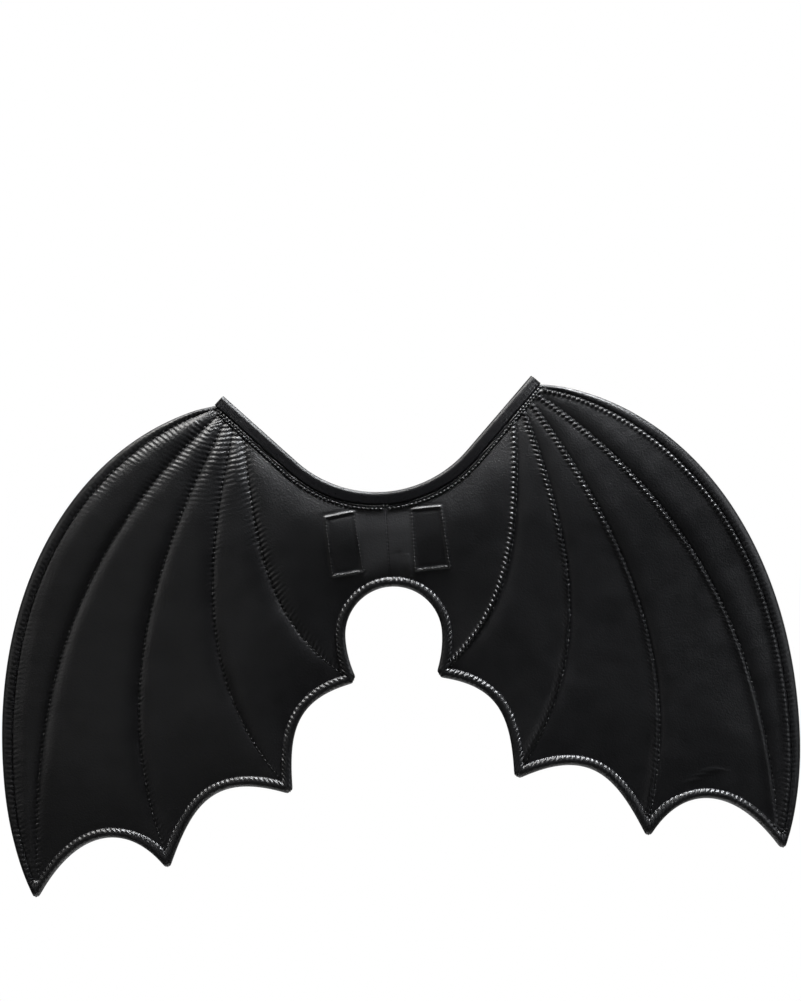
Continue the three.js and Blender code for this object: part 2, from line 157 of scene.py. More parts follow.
# Outer edge: a squared oval arch through the binding's corner, down to the outer tip
def makeOuterEdge():
    half, power = cut["halfSpan"] - cut["archCentreX"], cut["archPower"]
    side = abs((shoulderCorner[0] - cut["archCentreX"]) / half) ** power
    upperHalf = (shoulderCorner[1] - cut["widestZ"]) / (1 - side) ** (1 / power)
    bottom = shoulderTip[1] - cut["wingHeight"] - cut["tipBlunt"]
    t = np.linspace(0, 1, 2 * rawCount)
    ease = np.where(t < 0.5, 2 * t * t, 1 - 2 * (1 - t) ** 2)
    z = shoulderCorner[1] + (bottom - shoulderCorner[1]) * (0.5 * t + 0.5 * ease)
    tall = np.where(z > cut["widestZ"], upperHalf, cut["archLowerHalf"])
    x = cut["archCentreX"] + half * (1 - np.abs((z - cut["widestZ"]) / tall) ** power) ** (1 / power)
    return evenly(np.stack([x, z], -1))


# Keyhole edge: up the side from the cusp, then a quarter circle to the centre seam
def makeKeyholeEdge():
    share, radius, mouth = cut["keyholeSideShare"], cut["keyholeRadius"], cut["keyholeMouthHalf"]
    centreZ, mouthZ = cut["keyholeTopZ"] - radius, cut["keyholeTopZ"] - cut["keyholeHeight"]
    t = np.linspace(0, 1, rawCount)
    up = np.minimum(t / share, 1)
    angle = np.maximum(t - share, 0) / (1 - share) * math.pi / 2
    x = np.where(t < share, mouth + (radius - mouth) * up * (2 - up), radius * np.cos(angle))
    z = np.where(t < share, mix(mouthZ, centreZ, up), centreZ + radius * np.sin(angle))
    return evenly(np.stack([x, z], -1))


# Cubic line between two points, pulled sideways at two places
def bowed(start, end, row, side):
    chord = end - start
    sideways = np.array([-chord[1], chord[0]]) * side
    one, two = (start + chord * a + sideways * b for a, b in zip(row["along"], row["bow"]))
    t = np.linspace(0, 1, rawCount)[:, None]
    return evenly((1 - t) ** 3 * start + 3 * t * (1 - t) ** 2 * one + 3 * t * t * (1 - t) * two + t**3 * end)


# A line moved into the panel by a width, its ends drawn to given corners
def insetLine(line, width, start, end):
    slope = tangentsOf(line)
    moved = line + width * np.stack([slope[:, 1], -slope[:, 0]], -1)
    t = np.linspace(0, 1, len(line))[:, None]
    nearStart = np.maximum(0, 1 - t / cut["cornerRun"]) ** 2
    nearEnd = np.maximum(0, 1 - (1 - t) / cut["cornerRun"]) ** 2
    return evenly(moved + nearStart * (start - moved[0]) + nearEnd * (end - moved[-1]))


# Where both edges that leave a tip are a roll's width away
def stitchCorner(tip, leaveA, leaveB):
    middle = unit(leaveA + leaveB)
    half = math.acos(max(-1, min(1, float(middle @ leaveA))))
    return tip + middle * cut["rollWidth"] / math.sin(half)


outerEdge, keyholeEdge = makeOuterEdge(), makeKeyholeEdge()
tips = {"outer": outerEdge[-1], "cusp": keyholeEdge[0]}
for name, (span, height) in lowerTips.items():
    tipZ = shoulderTip[1] - cut["tipBlunt"] - height * cut["wingHeight"]
    tips[name] = np.array([span * cut["halfSpan"], tipZ])
scallops = [bowed(tips[a], tips[b], row, -1) for a, b, row in zip(tipNames, tipNames[1:], scallopRows)]
edges = [outerEdge, *scallops, keyholeEdge]
corners = {
    name: stitchCorner(tips[name], -tangentsOf(before)[-1], tangentsOf(after)[0])
    for name, before, after in zip(tipNames, edges, edges[1:])
}
borderEnd, outerRibEnd = (corners["outer"] + np.array([s * cut["outerRibGap"] / 2, 0]) for s in (1, -1))
tipReach = float(np.linalg.norm(corners["outer"] - tips["outer"]))
edgeShare = 1 - tipReach / lengthOf(outerEdge)
borderShare, ribShare = (cut[foot] * tipReach / lengthOf(scallops[0]) for foot in ("borderFoot", "ribFoot"))
seamLow = cut["bindingWidth"] + cut["fitGap"]
keyholeSeamTop = np.array([0, cut["keyholeTopZ"] + cut["rollWidth"]])

# The seams from the border inwards, and what bounds each of the five panels below
seamStarts = [cut["borderStart"], *[row["fromTip"] for row in ribRows], scoopLength]
seamTops = [scoopPoint(scoopLength - start, seamLow) for start in seamStarts]
ribFeet = [outerRibEnd, *[corners[name] for name in tipNames[1:]]]
ribLines = [bowed(top, foot, row, 1) for top, foot, row in zip(seamTops[1:], ribFeet, ribRows)]
borderLine = insetLine(stretch(outerEdge, 0, edgeShare), cut["borderWidth"], seamTops[0], borderEnd)
centreLine = evenly(np.stack([scoopPoint(0, seamLow), keyholeSeamTop]))
seams = [borderLine, *ribLines, centreLine]
lowerEdges = [
    stretch(scallops[0], borderShare, ribShare), stretch(scallops[0], ribShare, 1), *scallops[1:], keyholeEdge,
]
lowerSeams = [evenly(np.stack([borderEnd, outerRibEnd]))]
for edge, start, end in zip(lowerEdges[1:], ribFeet, [*ribFeet[1:], keyholeSeamTop]):
    lowerSeams.append(insetLine(edge, cut["rollWidth"], start, end))
scoopLine = evenly(scoopPoint(np.linspace(0, scoopLength + 25, rawCount), 0))


# Where the middle of the wing's thickness lies: round the body, over the shoulders, waving at the hem
def middleY(x, z):
    drop = np.maximum(0, (stance["leanFromZ"] - z) / cut["wingHeight"])
    rise = np.maximum(0, (z - stance["leanFromZ"]) / (shoulderTip[1] - stance["leanFromZ"]))
    wrap = stance["wrapDepth"] * (np.abs(x) / cut["halfSpan"]) ** stance["wrapPower"]
    wave = stance["hemWave"] * drop * np.sin(tau * np.abs(x) / stance["hemPitch"])
    return wrap + stance["leanDepth"] * rise**2 + wave - stance["backOffset"]


def slopeAlongX(x, z):
    return middleY(x + 0.5, z) - middleY(x - 0.5, z)


# Flat points lifted off the middle surface along its normal; a minus height is the outer face
def onWing(flat, height):
    x, z = flat[..., 0], flat[..., 1]
    slopeZ = middleY(x, z + 0.5) - middleY(x, z - 0.5)
    normal = unit(np.stack([-slopeAlongX(x, z), np.ones_like(x), -slopeZ], -1))
    return np.stack([x, middleY(x, z), z], -1) + normal * np.asarray(height)[..., None]


# Distance from points to a line and how far along the line that is
def nearest(points, line):
    flat = points.reshape(-1, 2)
    index = np.concatenate([
        ((block[:, None, 0] - line[None, :, 0]) ** 2 + (block[:, None, 1] - line[None, :, 1]) ** 2).argmin(1)
        for block in np.array_split(flat, len(flat) // 3000 + 1)
    ])
    run = runOf(line)
    best, place = np.full(len(flat), np.inf), np.zeros(len(flat))
    for shift in (-1, 0):
        a = np.clip(index + shift, 0, len(line) - 2)
        leg = line[a + 1] - line[a]
        t = np.clip(((flat - line[a]) * leg).sum(1) / np.maximum((leg**2).sum(1), 1e-12), 0, 1)
        gap = np.hypot(*(flat - line[a] - leg * t[:, None]).T)
        nearer = gap < best
        best = np.where(nearer, gap, best)
        place = np.where(nearer, mix(run[a], run[a + 1], t), place)
    return best.reshape(points.shape[:-1]), place.reshape(points.shape[:-1])


# Slow unevenness from seven crossing waves of about the given length
def unevenness(points, wave, seed):
    random = np.random.default_rng(seed)
    turns, sizes, starts = (random.uniform(low, high, 7) for low, high in ((0, tau), (0.7, 1.5), (0, tau)))
    total = np.zeros(points.shape[:-1])
    for turn, size, start in zip(turns, sizes, starts):
        ahead = points[..., 0] * math.cos(turn) + points[..., 1] * math.sin(turn)
        total += np.sin(tau / (wave * size) * ahead + start)
    return total / len(turns) ** 0.5


# The same along a line, from four waves
def waver(run, seed):
    random = np.random.default_rng(seed)
    total = np.zeros(np.shape(run))
    for wave, start in zip((11, 19, 34, 61), random.uniform(0, tau, 4)):
        total += np.sin(tau * run / wave + start)
    return total / 2


# 'shade' is how far from a seam the painted seam shading reaches
stitching = {
    "pitch": 4.2, "levelZ": 92, "slant": 0.35, "threadRadius": 0.3, "threadLength": 3.3, "threadLift": 0.4,
    "neckPitch": 3.2, "neckInset": 13.4, "boxPitch": 3.0, "shade": 1.6,
}
# Padding on each face: height, how thin the sewn lines are, how strong pinches, puckers and beads are
padding = {
    "outer": {"puff": 1.0, "seam": 0.95, "pinch": 1.0, "pucker": 0.48, "lumps": 0.14, "bead": 1.0, "step": 1},
    "inner": {"puff": 0.28, "seam": 0.9, "pinch": 0.6, "pucker": 0.3, "lumps": 0.25, "bead": 0.0, "step": 2},
    "narrow": 0.62, "ease": 0.9, "lumpWaves": (46, 17), "smallLumps": 0.35,
    "centrePinch": 0.9, "neckPinch": 0.8,
}
# How far from the centre seam, the lower edge, the keyhole and the neck the padding is full
reaches = {"centre": 2.2, "lower": 70, "keyhole": 16, "neck": 34}
# The left wing (-1) has long soft puckers and full panels, the right one (1) beads between its stitches
# and flatter panels. Under a rib (towards the middle of the back) the puckers are long, above it short.
habits = {
    -1: {
        "puff": 5.2, "fade": 60, "strongFor": 210, "narrow": (7, 17),
        "under": {"rib": 14, "base": 3.0, "top": 7.5, "low": 1.5, "pucker": 1.0, "pinch": 1.2, "bead": 0.0},
        "above": {"rib": 19, "base": 1.6, "top": 6.0, "low": 0.25, "pucker": 0.85, "pinch": 0.9},
    },
    1: {
        "puff": 4.2, "fade": 60, "strongFor": 230, "narrow": (3, 9),
        "under": {"rib": 7.5, "base": 1.4, "top": 2.2, "low": 0.4, "pucker": 0.2, "pinch": 0.3, "bead": 2.6},
        "above": {"rib": 13, "base": 1.2, "top": 1.8, "low": 0.2, "pucker": 0.15, "pinch": 0.3},
    },
}
puckers = {"uneven": 0.45, "start": 0.9, "clear": 1.7, "mean": 1.27, "lower": 0.5, "lowerFrom": 150}
beads = {"from": 2.6, "wide": 1.8, "smoothBy": 380, "smooth": 0.75, "out": 1.7, "wider": 2.1, "round": 0.8,
         "level": 0.75}
border = {"rise": 1.3, "wide": 3.5, "calm": 0.55, "between": (90, 230)}  # shallower and calmer lower down
creases = [  # short folds and dents in single panels of the right wing, points from end to end
    {"panel": 1, "line": [(236, -219.5), (243, -212.5), (252, -208), (262, -206.5)], "height": 0.8, "wide": 1.1},
    {"panel": 1, "line": [(257, -202), (259.5, -201)], "height": 0.5, "wide": 1.0},
    {"panel": 4, "line": [(8.5, -10), (9.5, -18), (12, -27)], "height": -0.55, "wide": 2.3},
    {"panel": 4, "line": [(15.5, -12), (16.5, -20), (17, -28)], "height": 0.5, "wide": 1.6},
]
boxLine = {"groove": 0.13, "out": 2.5, "wide": 1.5, "ridge": 0.8, "ridgeWide": 0.95, "press": 0.9, "pressBy": 5}
boxSides = {1: (0.95, 0.8), -1: (0.5, 0.3)}  # how much of the ridge shows on a box's outer and inner side
# The yoke's middle strip stands out more towards the keyhole and from its left edge to the seam, and
# its leather carries a painted sheen: a lighter tone standing in for the light its bulge catches
strip = {
    "top": 0.4, "foot": 2.2, "between": (-33, 27), "groove": 0.22, "tilt": 1.3, "half": 21, "keyhole": 0.1,
    "neck": 0.2, "neckBy": 22, "reach": 16, "fade": 16, "sheenEdge": (-1.4, 0.4), "sheenSeam": (0.5, 1.6),
    "sheenFoot": 16, "sheenTop": (2, 8),
}
boxes = {  # corners of the stitched boxes, round from the upper inner one
    1: np.array([(21.7, 25.8), (45.6, 26.3), (50.0, -23.4), (21.4, -24.6)], float),
    -1: np.array([(26.4, 26.8), (50.0, 23.4), (47.2, -25.0), (21.9, -22.5)], float),
}
lip = {"half": 1.2, "rise": 0.5, "outerRise": 0.7, "level": 0.66, "wave": 0.34, "least": 0.5}  # at the binding
panelCells = [22, 26, 26, 26, 74]
downCells = 482
bindingRows = 4
columns = {"beside": 3.2, "reach": 0.05, "boxes": 1.9, "boxesFrom": (0.42, 0.55), "centre": 4, "centreReach": 0.012}

# Stitches are counted from where a seam crosses one level, so that puckers run level between seams
levelRun = [
    float(np.abs(line[:, 1] - stitching["levelZ"]).argmin()) / (lineCount - 1) * lengthOf(line) for line in seams
]


def quarterRound(share):
    return np.sqrt(1 - (1 - np.clip(share, 0, 1)) ** 2)


def boxOutline(side):
    return evenly(np.concatenate([boxes[side], boxes[side][:1]]))


def insideBox(points, side):
    inside = np.ones(points.shape[:-1], bool)
    for a, b in zip(boxes[side], np.roll(boxes[side], -1, axis=0)):
        inside &= (b[0] - a[0]) * (points[..., 1] - a[1]) - (b[1] - a[1]) * (points[..., 0] - a[0]) < 0
    return inside


def measure(points, panel):
    near = {"points": points, "panel": panel}
    lines = {"outer": seams[panel], "inner": seams[panel + 1], "lower": lowerSeams[panel]}
    for key, line in lines.items():
        near[key + "Gap"], near[key + "Run"] = nearest(points, line)
    near["inset"], near["neckRun"] = nearest(points, scoopLine)
    return near


# Ridge along a stitched box, with the sine of the run between two stitches, and how far the box presses
def boxRelief(points, side):
    gap, run = nearest(points, boxOutline(side))
    pressed = 1 - boxLine["groove"] * bell(gap - boxLine["out"], boxLine["wide"])
    inside = mix(1, boxLine["press"], eased(gap, 0, boxLine["pressBy"]))
    cornerRun = np.cumsum(np.linalg.norm(np.roll(boxes[side], -1, axis=0) - boxes[side], axis=1))
    onOuter, onInner = (run > cornerRun[0]) & (run < cornerRun[1]), run > cornerRun[2]
    shown = np.where(onOuter, boxSides[side][0], np.where(onInner, boxSides[side][1], 1))
    ridge = boxLine["ridge"] * shown * bell(gap, boxLine["ridgeWide"]) * (
        0.5 + 0.5 * np.abs(np.sin(math.pi * run / stitching["boxPitch"])))
    return pressed * np.where(insideBox(points, side), inside, 1), ridge


# Half thickness of a panel: ribs let it rise as a quarter round and free edges as a sine, pinched at
# each stitch; short puckers run off the seams, right across where two ribs lie close together; beads
# are bumps beside a seam with the sine of the run between two stitches
def quiltHeight(near, face, side):
    size, habit = padding[face], habits[side]
    under, above = habit["under"], habit["above"]
    pitch, neckPitch = stitching["pitch"] * size["step"], stitching["neckPitch"]
    panel, points, lowerRun = near["panel"], near["points"], near["lowerRun"]
    outerGap, innerGap, lowerGap = near["outerGap"], near["innerGap"], near["lowerGap"]
    below = near["inset"] - stitching["neckInset"]
    outerRun = near["outerRun"] - levelRun[panel] + stitching["slant"] * outerGap
    innerRun = near["innerRun"] - levelRun[panel + 1] - stitching["slant"] * innerGap
    seed = 10 * panel + (3 if side > 0 else 7)

    def pinched(gap, run, stitch, pinch):
        return np.hypot(gap, size["pinch"] * pinch * (0.5 - 0.5 * np.cos(tau * run / stitch)))

    def softly(gap, run, reach, stitch, pinch):
        rise = np.clip(pinched(gap, run, stitch, pinch) / reach, 0, 1)
        return np.sin(math.pi / 2 * rise) ** padding["ease"]

    calm = eased(near["outerRun"], *border["between"]) if panel == 0 else 0.0
    outerPinch = under["pinch"] * (1 - border["calm"] * calm)
    width = outerGap + innerGap
    narrowed = padding["narrow"] * width + 1  # narrow panels rise faster
    full = quarterRound(pinched(outerGap, outerRun, pitch, outerPinch) / np.minimum(under["rib"], narrowed))
    if panel == 4:
        centre = pinched(innerGap, near["innerRun"], neckPitch, padding["centrePinch"])
        groove = 1 - strip["groove"] * (1 - quarterRound(centre / reaches["centre"]))
        full = full * groove
    else:
        innerReach = np.minimum(above["rib"], narrowed)
        full = full * quarterRound(pinched(innerGap, innerRun, pitch, above["pinch"]) / innerReach)
    full = full * softly(lowerGap, lowerRun, reaches["lower"], pitch, 1.0)
    neck = softly(np.maximum(below, 0), near["neckRun"], reaches["neck"], neckPitch, padding["neckPinch"])
    full = full * np.where(below > 0, neck, 0)
    ridge = 0
    if panel == 4:
        tilt = 1.0 if side > 0 else 1 - np.clip(points[..., 0] / strip["half"], 0, 1)
        wedge = np.interp(-points[..., 1], strip["between"], (strip["top"], strip["foot"])) + strip["tilt"] * tilt
        atKeyhole = softly(lowerGap, lowerRun, reaches["keyhole"], pitch, 1.0)
        wedge = wedge / habit["puff"] * groove * mix(strip["keyhole"], 1, atKeyhole)
        wedge = wedge * mix(strip["neck"], 1, eased(below, 0, strip["neckBy"]))
        onStrip = 1 - eased(points[..., 0], strip["reach"], strip["reach"] + strip["fade"])
        pressed, ridge = boxRelief(points, side)
        full = mix(full, wedge, onStrip) * pressed
    height = size["seam"] + size["puff"] * habit["puff"] * full + size["bead"] * ridge
    height = height + border["rise"] * calm * bell(outerGap, border["wide"])
    for crease in creases if side > 0 else ():
        if crease["panel"] == panel:
            gap, _ = nearest(points, evenly(np.array(crease["line"], float), 60))
            height = height + size["bead"] * crease["height"] * bell(gap, crease["wide"])

    def fall(gap, run, flank, seed):
        reach = flank["base"] + (flank["top"] - flank["base"]) * np.exp(-run / habit["fade"])
        strong = flank["low"] + (1 - flank["low"]) * bell(run, habit["strongFor"])
        return (flank["pucker"] * strong * np.exp(-gap / reach) * (1 - bell(gap, puckers["start"]))
                * (1 + puckers["uneven"] * waver(run, seed)))

    def folds(run):
        return 2 * np.abs(np.sin(math.pi * run / pitch)) - puckers["mean"]

    outerFall = fall(outerGap, near["outerRun"], under, seed) * (1 - border["calm"] * calm)
    innerFall = fall(innerGap, near["innerRun"], above, seed + 1) * (0 if panel == 4 else 1)
    lowerFall = puckers["lower"] * fall(lowerGap, lowerRun + puckers["lowerFrom"], above, seed + 2)
    apart = outerFall * folds(outerRun) + innerFall * folds(innerRun)
    share = outerGap / np.maximum(width, 1e-6)
    across = np.maximum(outerFall, innerFall) * folds(mix(outerRun, innerRun, share))
    clear = (1 - bell(outerGap, puckers["clear"])) * (1 - bell(innerGap, puckers["clear"]))
    narrow = 1 - eased(width, *habit["narrow"])
    folded = mix(apart, across, narrow) * clear + lowerFall * folds(lowerRun)
    smooth = beads["smooth"] * eased(near["outerRun"], 0.5 * beads["smoothBy"], beads["smoothBy"])
    away = outerGap - beads["from"] - beads["out"] * smooth
    bumps = np.abs(np.sin(math.pi * outerRun / pitch)) ** beads["round"]
    bead = under["bead"] * bell(away, beads["wide"] + beads["wider"] * smooth) * mix(bumps, beads["level"], smooth)
    height = height + (size["pucker"] * folded + size["bead"] * bead) * eased(below, 0, 3)
    slow, quick = (unevenness(points, wave, seed + 2 * i) for i, wave in enumerate(padding["lumpWaves"]))
    height = height + size["lumps"] * full * (slow + padding["smallLumps"] * quick)
    toNeck = np.clip((near["inset"] - seamLow) / (stitching["neckInset"] - seamLow), 0, 1)
    lipHeight = lip["half"] + (lip["rise"] + lip["outerRise"] * size["bead"]) * np.sin(math.pi * toNeck) * (
        lip["level"] - lip["wave"] * np.cos(tau * near["neckRun"] / neckPitch))
    height = np.where(below > 0, np.maximum(height, lip["least"]), lipHeight)
    return np.where(near["inset"] < seamLow, lip["half"], height)


# Points of one panel between its seams, the binding and its lower seam, plus rows inside the binding
def panelGrid(panel, cells, down):
    fine = np.linspace(0, 1, 600)  # columns stand closer beside the seams and over the boxes
    density = 1 + columns["beside"] * np.exp(-fine / columns["reach"])
    if panel == 4:
        density += (columns["boxes"] * eased(fine, *columns["boxesFrom"])
                    + columns["centre"] * np.exp((fine - 1) / columns["centreReach"]))
    else:
        density += columns["beside"] * np.exp((fine - 1) / columns["reach"])
    total = np.concatenate([[0], np.cumsum((density[1:] + density[:-1]) / 2)])
    across = np.interp(np.linspace(0, total[-1], cells + 1), total, fine)
    a, d = across[:, None, None], down[None, :, None]
    left, right = along(seams[panel], down)[None], along(seams[panel + 1], down)[None]
    starts = mix(seamStarts[panel], seamStarts[panel + 1], across)
    top, bottom = scoopPoint(scoopLength - starts, seamLow)[:, None], along(lowerSeams[panel], across)[:, None]
    flat = mix(left, right, a) + mix(top, bottom, d)
    flat = flat - mix(mix(top[:1], top[-1:], a), mix(bottom[:1], bottom[-1:], a), d)
    insets = np.linspace(cut["cutEdgeInset"], seamLow, bindingRows, endpoint=False)
    bound = scoopPoint((scoopLength - starts)[:, None], insets[None])
    return np.concatenate([bound, flat], 1)


def gridQuads(start, across, down):
    i, j = np.meshgrid(np.arange(across - 1), np.arange(down - 1), indexing="ij")
    a = start + i * down + j
    return np.stack([a, a + down, a + down + 1, a + 1], -1).reshape(-1, 4)


# Quads between closed rings, and the cap over the first ring
def ringQuads(rings, around):
    i, j = np.meshgrid(np.arange(rings - 1), np.arange(around), indexing="ij")
    k = (j + 1) % around
    return np.stack([i * around + j, i * around + k, (i + 1) * around + k, (i + 1) * around + j], -1).reshape(-1, 4)


def capQuads(count, around):
    k = np.arange(count)
    mirror = around - 1 - k
    return np.stack([k, mirror, mirror - 1, k + 1], -1)


# Wall between a fine edge and a coarse one with every second of its points
def stepWall(fine, coarse):
    a, b, c = fine[:-2:2], fine[1:-1:2], fine[2::2]
    d, e = coarse[:-1], coarse[1:]
    return np.concatenate([np.stack([a, b, d], -1), np.stack([b, e, d], -1), np.stack([b, c, e], -1)])


# A part of a mesh: points, quads, triangles, how close each point is to a seam (for painted seam shading) and how
# much painted sheen it carries
def part(points, quads, triangles=None, seam=None, paintedSheen=None):
    points = points.reshape(-1, 3)
    triangles = np.zeros((0, 3), int) if triangles is None else triangles
    p = points[np.concatenate([quads[:, [0, 1, 2]], quads[:, [0, 2, 3]], triangles])]
    if (p[:, 0] * np.cross(p[:, 1], p[:, 2])).sum() < 0:
        quads, triangles = quads[:, ::-1], triangles[:, ::-1]
    seam, paintedSheen = (np.zeros(len(points)) if v is None else v.ravel() for v in (seam, paintedSheen))
    return {"points": points, "quads": quads, "triangles": triangles, "seam": seam, "paintedSheen": paintedSheen}


measured = {}  # each panel's points and distances, worked out once for both wings


def quiltPart(side):
    even = np.linspace(0, 1, downCells + 1)
    down = 0.8 * even + 0.2 * (0.5 - 0.5 * np.cos(math.pi * even))
    sheets, closeness = {"outer": [], "inner": []}, []
    for panel, cells in enumerate(panelCells):
        if panel not in measured:
            measured[panel] = measure(panelGrid(panel, cells, down), panel)
        near = measured[panel]
        flat = near["points"].copy()
        flat[..., 0] = np.maximum(flat[..., 0], 0)
        skip = slice(1 if panel else 0, None)
        for face, sign in (("outer", -1), ("inner", 1)):
            sheets[face].append(onWing(flat, sign * quiltHeight(near, face, side))[skip])
        # Closeness to the nearest seam, which paints a set tone along the seams: painted seam shading standing in
        # for how light falls in the grooves
        gap = np.minimum(np.minimum(near["outerGap"], near["innerGap"]), near["lowerGap"])
        closeness.append(bell(gap, stitching["shade"])[skip])
    rowStart = bindingRows % 2
    outer, seamShadingOuter = np.concatenate(sheets["outer"])[:, rowStart:], np.concatenate(closeness)[:, rowStart:]
    inner, seamShadingInner = np.concatenate(sheets["inner"])[::2, rowStart::2], seamShadingOuter[::2, ::2]
    (wide, tall), (fewWide, fewTall) = outer.shape[:2], inner.shape[:2]
    first = wide * tall
    fine = np.arange(first).reshape(wide, tall)
    coarse = first + np.arange(fewWide * fewTall).reshape(fewWide, fewTall)
    quads = np.concatenate([gridQuads(0, wide, tall), gridQuads(first, fewWide, fewTall)[:, ::-1]])
    walls = np.concatenate([
        stepWall(fine[:, 0], coarse[:, 0])[:, ::-1],
        stepWall(fine[:, -1], coarse[:, -1]),
        stepWall(fine[0], coarse[0]),
        stepWall(fine[-1], coarse[-1])[:, ::-1],
    ])
    points = np.concatenate([outer.reshape(-1, 3), inner.reshape(-1, 3)])
    (highX, highZ), (lowX, lowZ) = boxes[side][0], boxes[side][3]
    x, z = points[:, 0], points[:, 2]
    edgeX = np.interp(z, (lowZ, highZ), (lowX, highX))
    # Painted sheen: a lighter leather tone on the yoke's middle strip, between the box's inner edge and the centre
    # seam, standing in for the light its bulge catches
    paintedSheen = (1 - eased(x, *(edgeX + e for e in strip["sheenEdge"]))) * (np.arange(len(points)) < first)
    paintedSheen = paintedSheen * eased(x, *strip["sheenSeam"]) * eased(z, lowZ - strip["sheenFoot"], lowZ)
    paintedSheen = paintedSheen * (1 - eased(z, *(highZ + e for e in strip["sheenTop"])))
    return part(points * [side, 1, 1], quads, walls, np.concatenate([seamShadingOuter.ravel(), seamShadingInner.ravel()]), paintedSheen)


roll = {  # puffed roll round the free outline
    "half": 3.6, "seam": 0.9, "spacing": 0.8, "across": 11, "overlap": 0.5, "pinch": 0.5,
    "borderPinch": {-1: 0.3, 1: 0.12}, "pucker": 0.12, "puckerPhase": 1.1, "bulb": 0.3, "bulbWide": 4,
    "uneven": 0.35, "slant": 0.22, "valley": 1.3, "blend": 20, "fall": 0.34, "borderRound": 0.55,
    "hemRound": 0.85, "freeBy": 16, "bound": 1.15, "inner": 0.85, "shade": 0.16, "bluntWide": 3.4,
}


# The two sides of the roll, from the shoulder round every tip to the top of the keyhole
def rollLines():
    bound = np.linspace(cut["cutEdgeInset"], seamLow, 6, endpoint=False)
    tipRun = evenly(np.concatenate([along(outerEdge, np.linspace(edgeShare, 1, 60)),
                                    along(scallops[0], np.linspace(0, ribShare, 60))[1:]]))
    pairs = [(borderLine, stretch(outerEdge, 0, edgeShare)), (lowerSeams[0], tipRun),
             *zip(lowerSeams[1:], lowerEdges[1:])]
    seamParts = [scoopPoint(scoopLength - cut["borderStart"], bound), borderLine[:1]]
    edgeParts = [scoopPoint(scoopLength - cut["fitGap"], bound), outerEdge[:1]]
    for seamLine, edgeLine in pairs:
        share = np.linspace(0, 1, int(lengthOf(edgeLine) / roll["spacing"]) + 1)[1:]
        seamParts.append(along(seamLine, share))
        edgeParts.append(along(edgeLine, share))
    return np.concatenate(seamParts), np.concatenate(edgeParts), len(seamParts[0]) + len(seamParts[2])


# Tips are rounded: near a tip the edge is drawn back towards the stitches
def bluntTips(edgeSide):
    moved = edgeSide.copy()
    for name in tipNames:
        gap = np.hypot(*(edgeSide - tips[name]).T)
        moved += cut["tipBlunt"] * bell(gap, roll["bluntWide"])[:, None] * unit(corners[name] - tips[name])
    return moved


# Height of the roll: a power of a half turn's sine across it, with a valley at each stitch that fades
# towards the edge, thicker at the tips and flat inside the binding
def rollPart(side):
    seamSide, edgeSide, borderCount = rollLines()
    edgeSide = bluntTips(edgeSide)
    seamSide = seamSide - roll["overlap"] * unit(edgeSide - seamSide)
    run = 0.5 * runOf(seamSide) + 0.5 * runOf(edgeSide)
    theta = np.linspace(0, math.pi, roll["across"] + 1)
    share = (1 - np.cos(theta)) / 2
    flat = mix(seamSide[:, None], edgeSide[:, None], share[None, :, None])
    flat[..., 0] = np.maximum(flat[..., 0], 0)
    inset, _ = nearest(edgeSide, scoopLine)
    free = eased(inset, seamLow - 1, seamLow + roll["freeBy"])[:, None]
    lively = 1 + roll["uneven"] * waver(run, 5 if side > 0 else 8)[:, None]
    phase = tau * (run[:, None] / stitching["pitch"] + roll["slant"] * share[None])
    valley = (0.5 + 0.5 * np.cos(phase)) ** roll["valley"]
    onHem = eased(np.arange(len(run)), borderCount - roll["blend"], borderCount + roll["blend"])[:, None]
    body = roll["half"] * np.sin(theta)[None] ** mix(roll["borderRound"], roll["hemRound"], onHem)
    pinch = mix(roll["borderPinch"][side], roll["pinch"], onHem)
    body = body * (1 - pinch * lively * valley * bell(share[None], roll["fall"]))
    body = body + roll["pucker"] * onHem * lively * np.sin(phase + roll["puckerPhase"]) * np.sin(theta)[None]
    for name in tipNames[:3]:
        gap = np.hypot(*(edgeSide - tips[name]).T)
        body = body * (1 + roll["bulb"] * bell(gap, roll["bulbWide"]))[:, None]
    rise = border["rise"] * (eased(run, *border["between"])[:, None] * (1 - onHem))
    body = np.maximum(body, 0) + (roll["seam"] + rise) * (1 - share[None]) ** 0.5
    half = mix(roll["bound"] * np.minimum(1, 3 * (1 - share[None])) ** 0.5, body, free)
    half[:, -1] = 0
    outer, inner = onWing(flat, -half), onWing(flat, half * roll["inner"])
    ring = np.concatenate([outer, inner[:, -2::-1]], 1)
    rings, around = ring.shape[:2]
    last = (rings - 1) * around
    startCap = capQuads(roll["across"] - 1, around)
    endCap = np.roll(startCap[:, ::-1], 1, axis=1) + last
    tip = np.array([[roll["across"] - 1, roll["across"] + 1, roll["across"]]])
    # The roll's seam side carries the same painted seam shading
    shade = bell(share, roll["shade"])
    seam = np.broadcast_to(np.concatenate([shade, shade[-2::-1]]), (rings, around))
    return part(ring * [side, 1, 1], np.concatenate([ringQuads(rings, around), startCap, endCap]),
                np.concatenate([tip, tip[:, ::-1] + last]), seam)


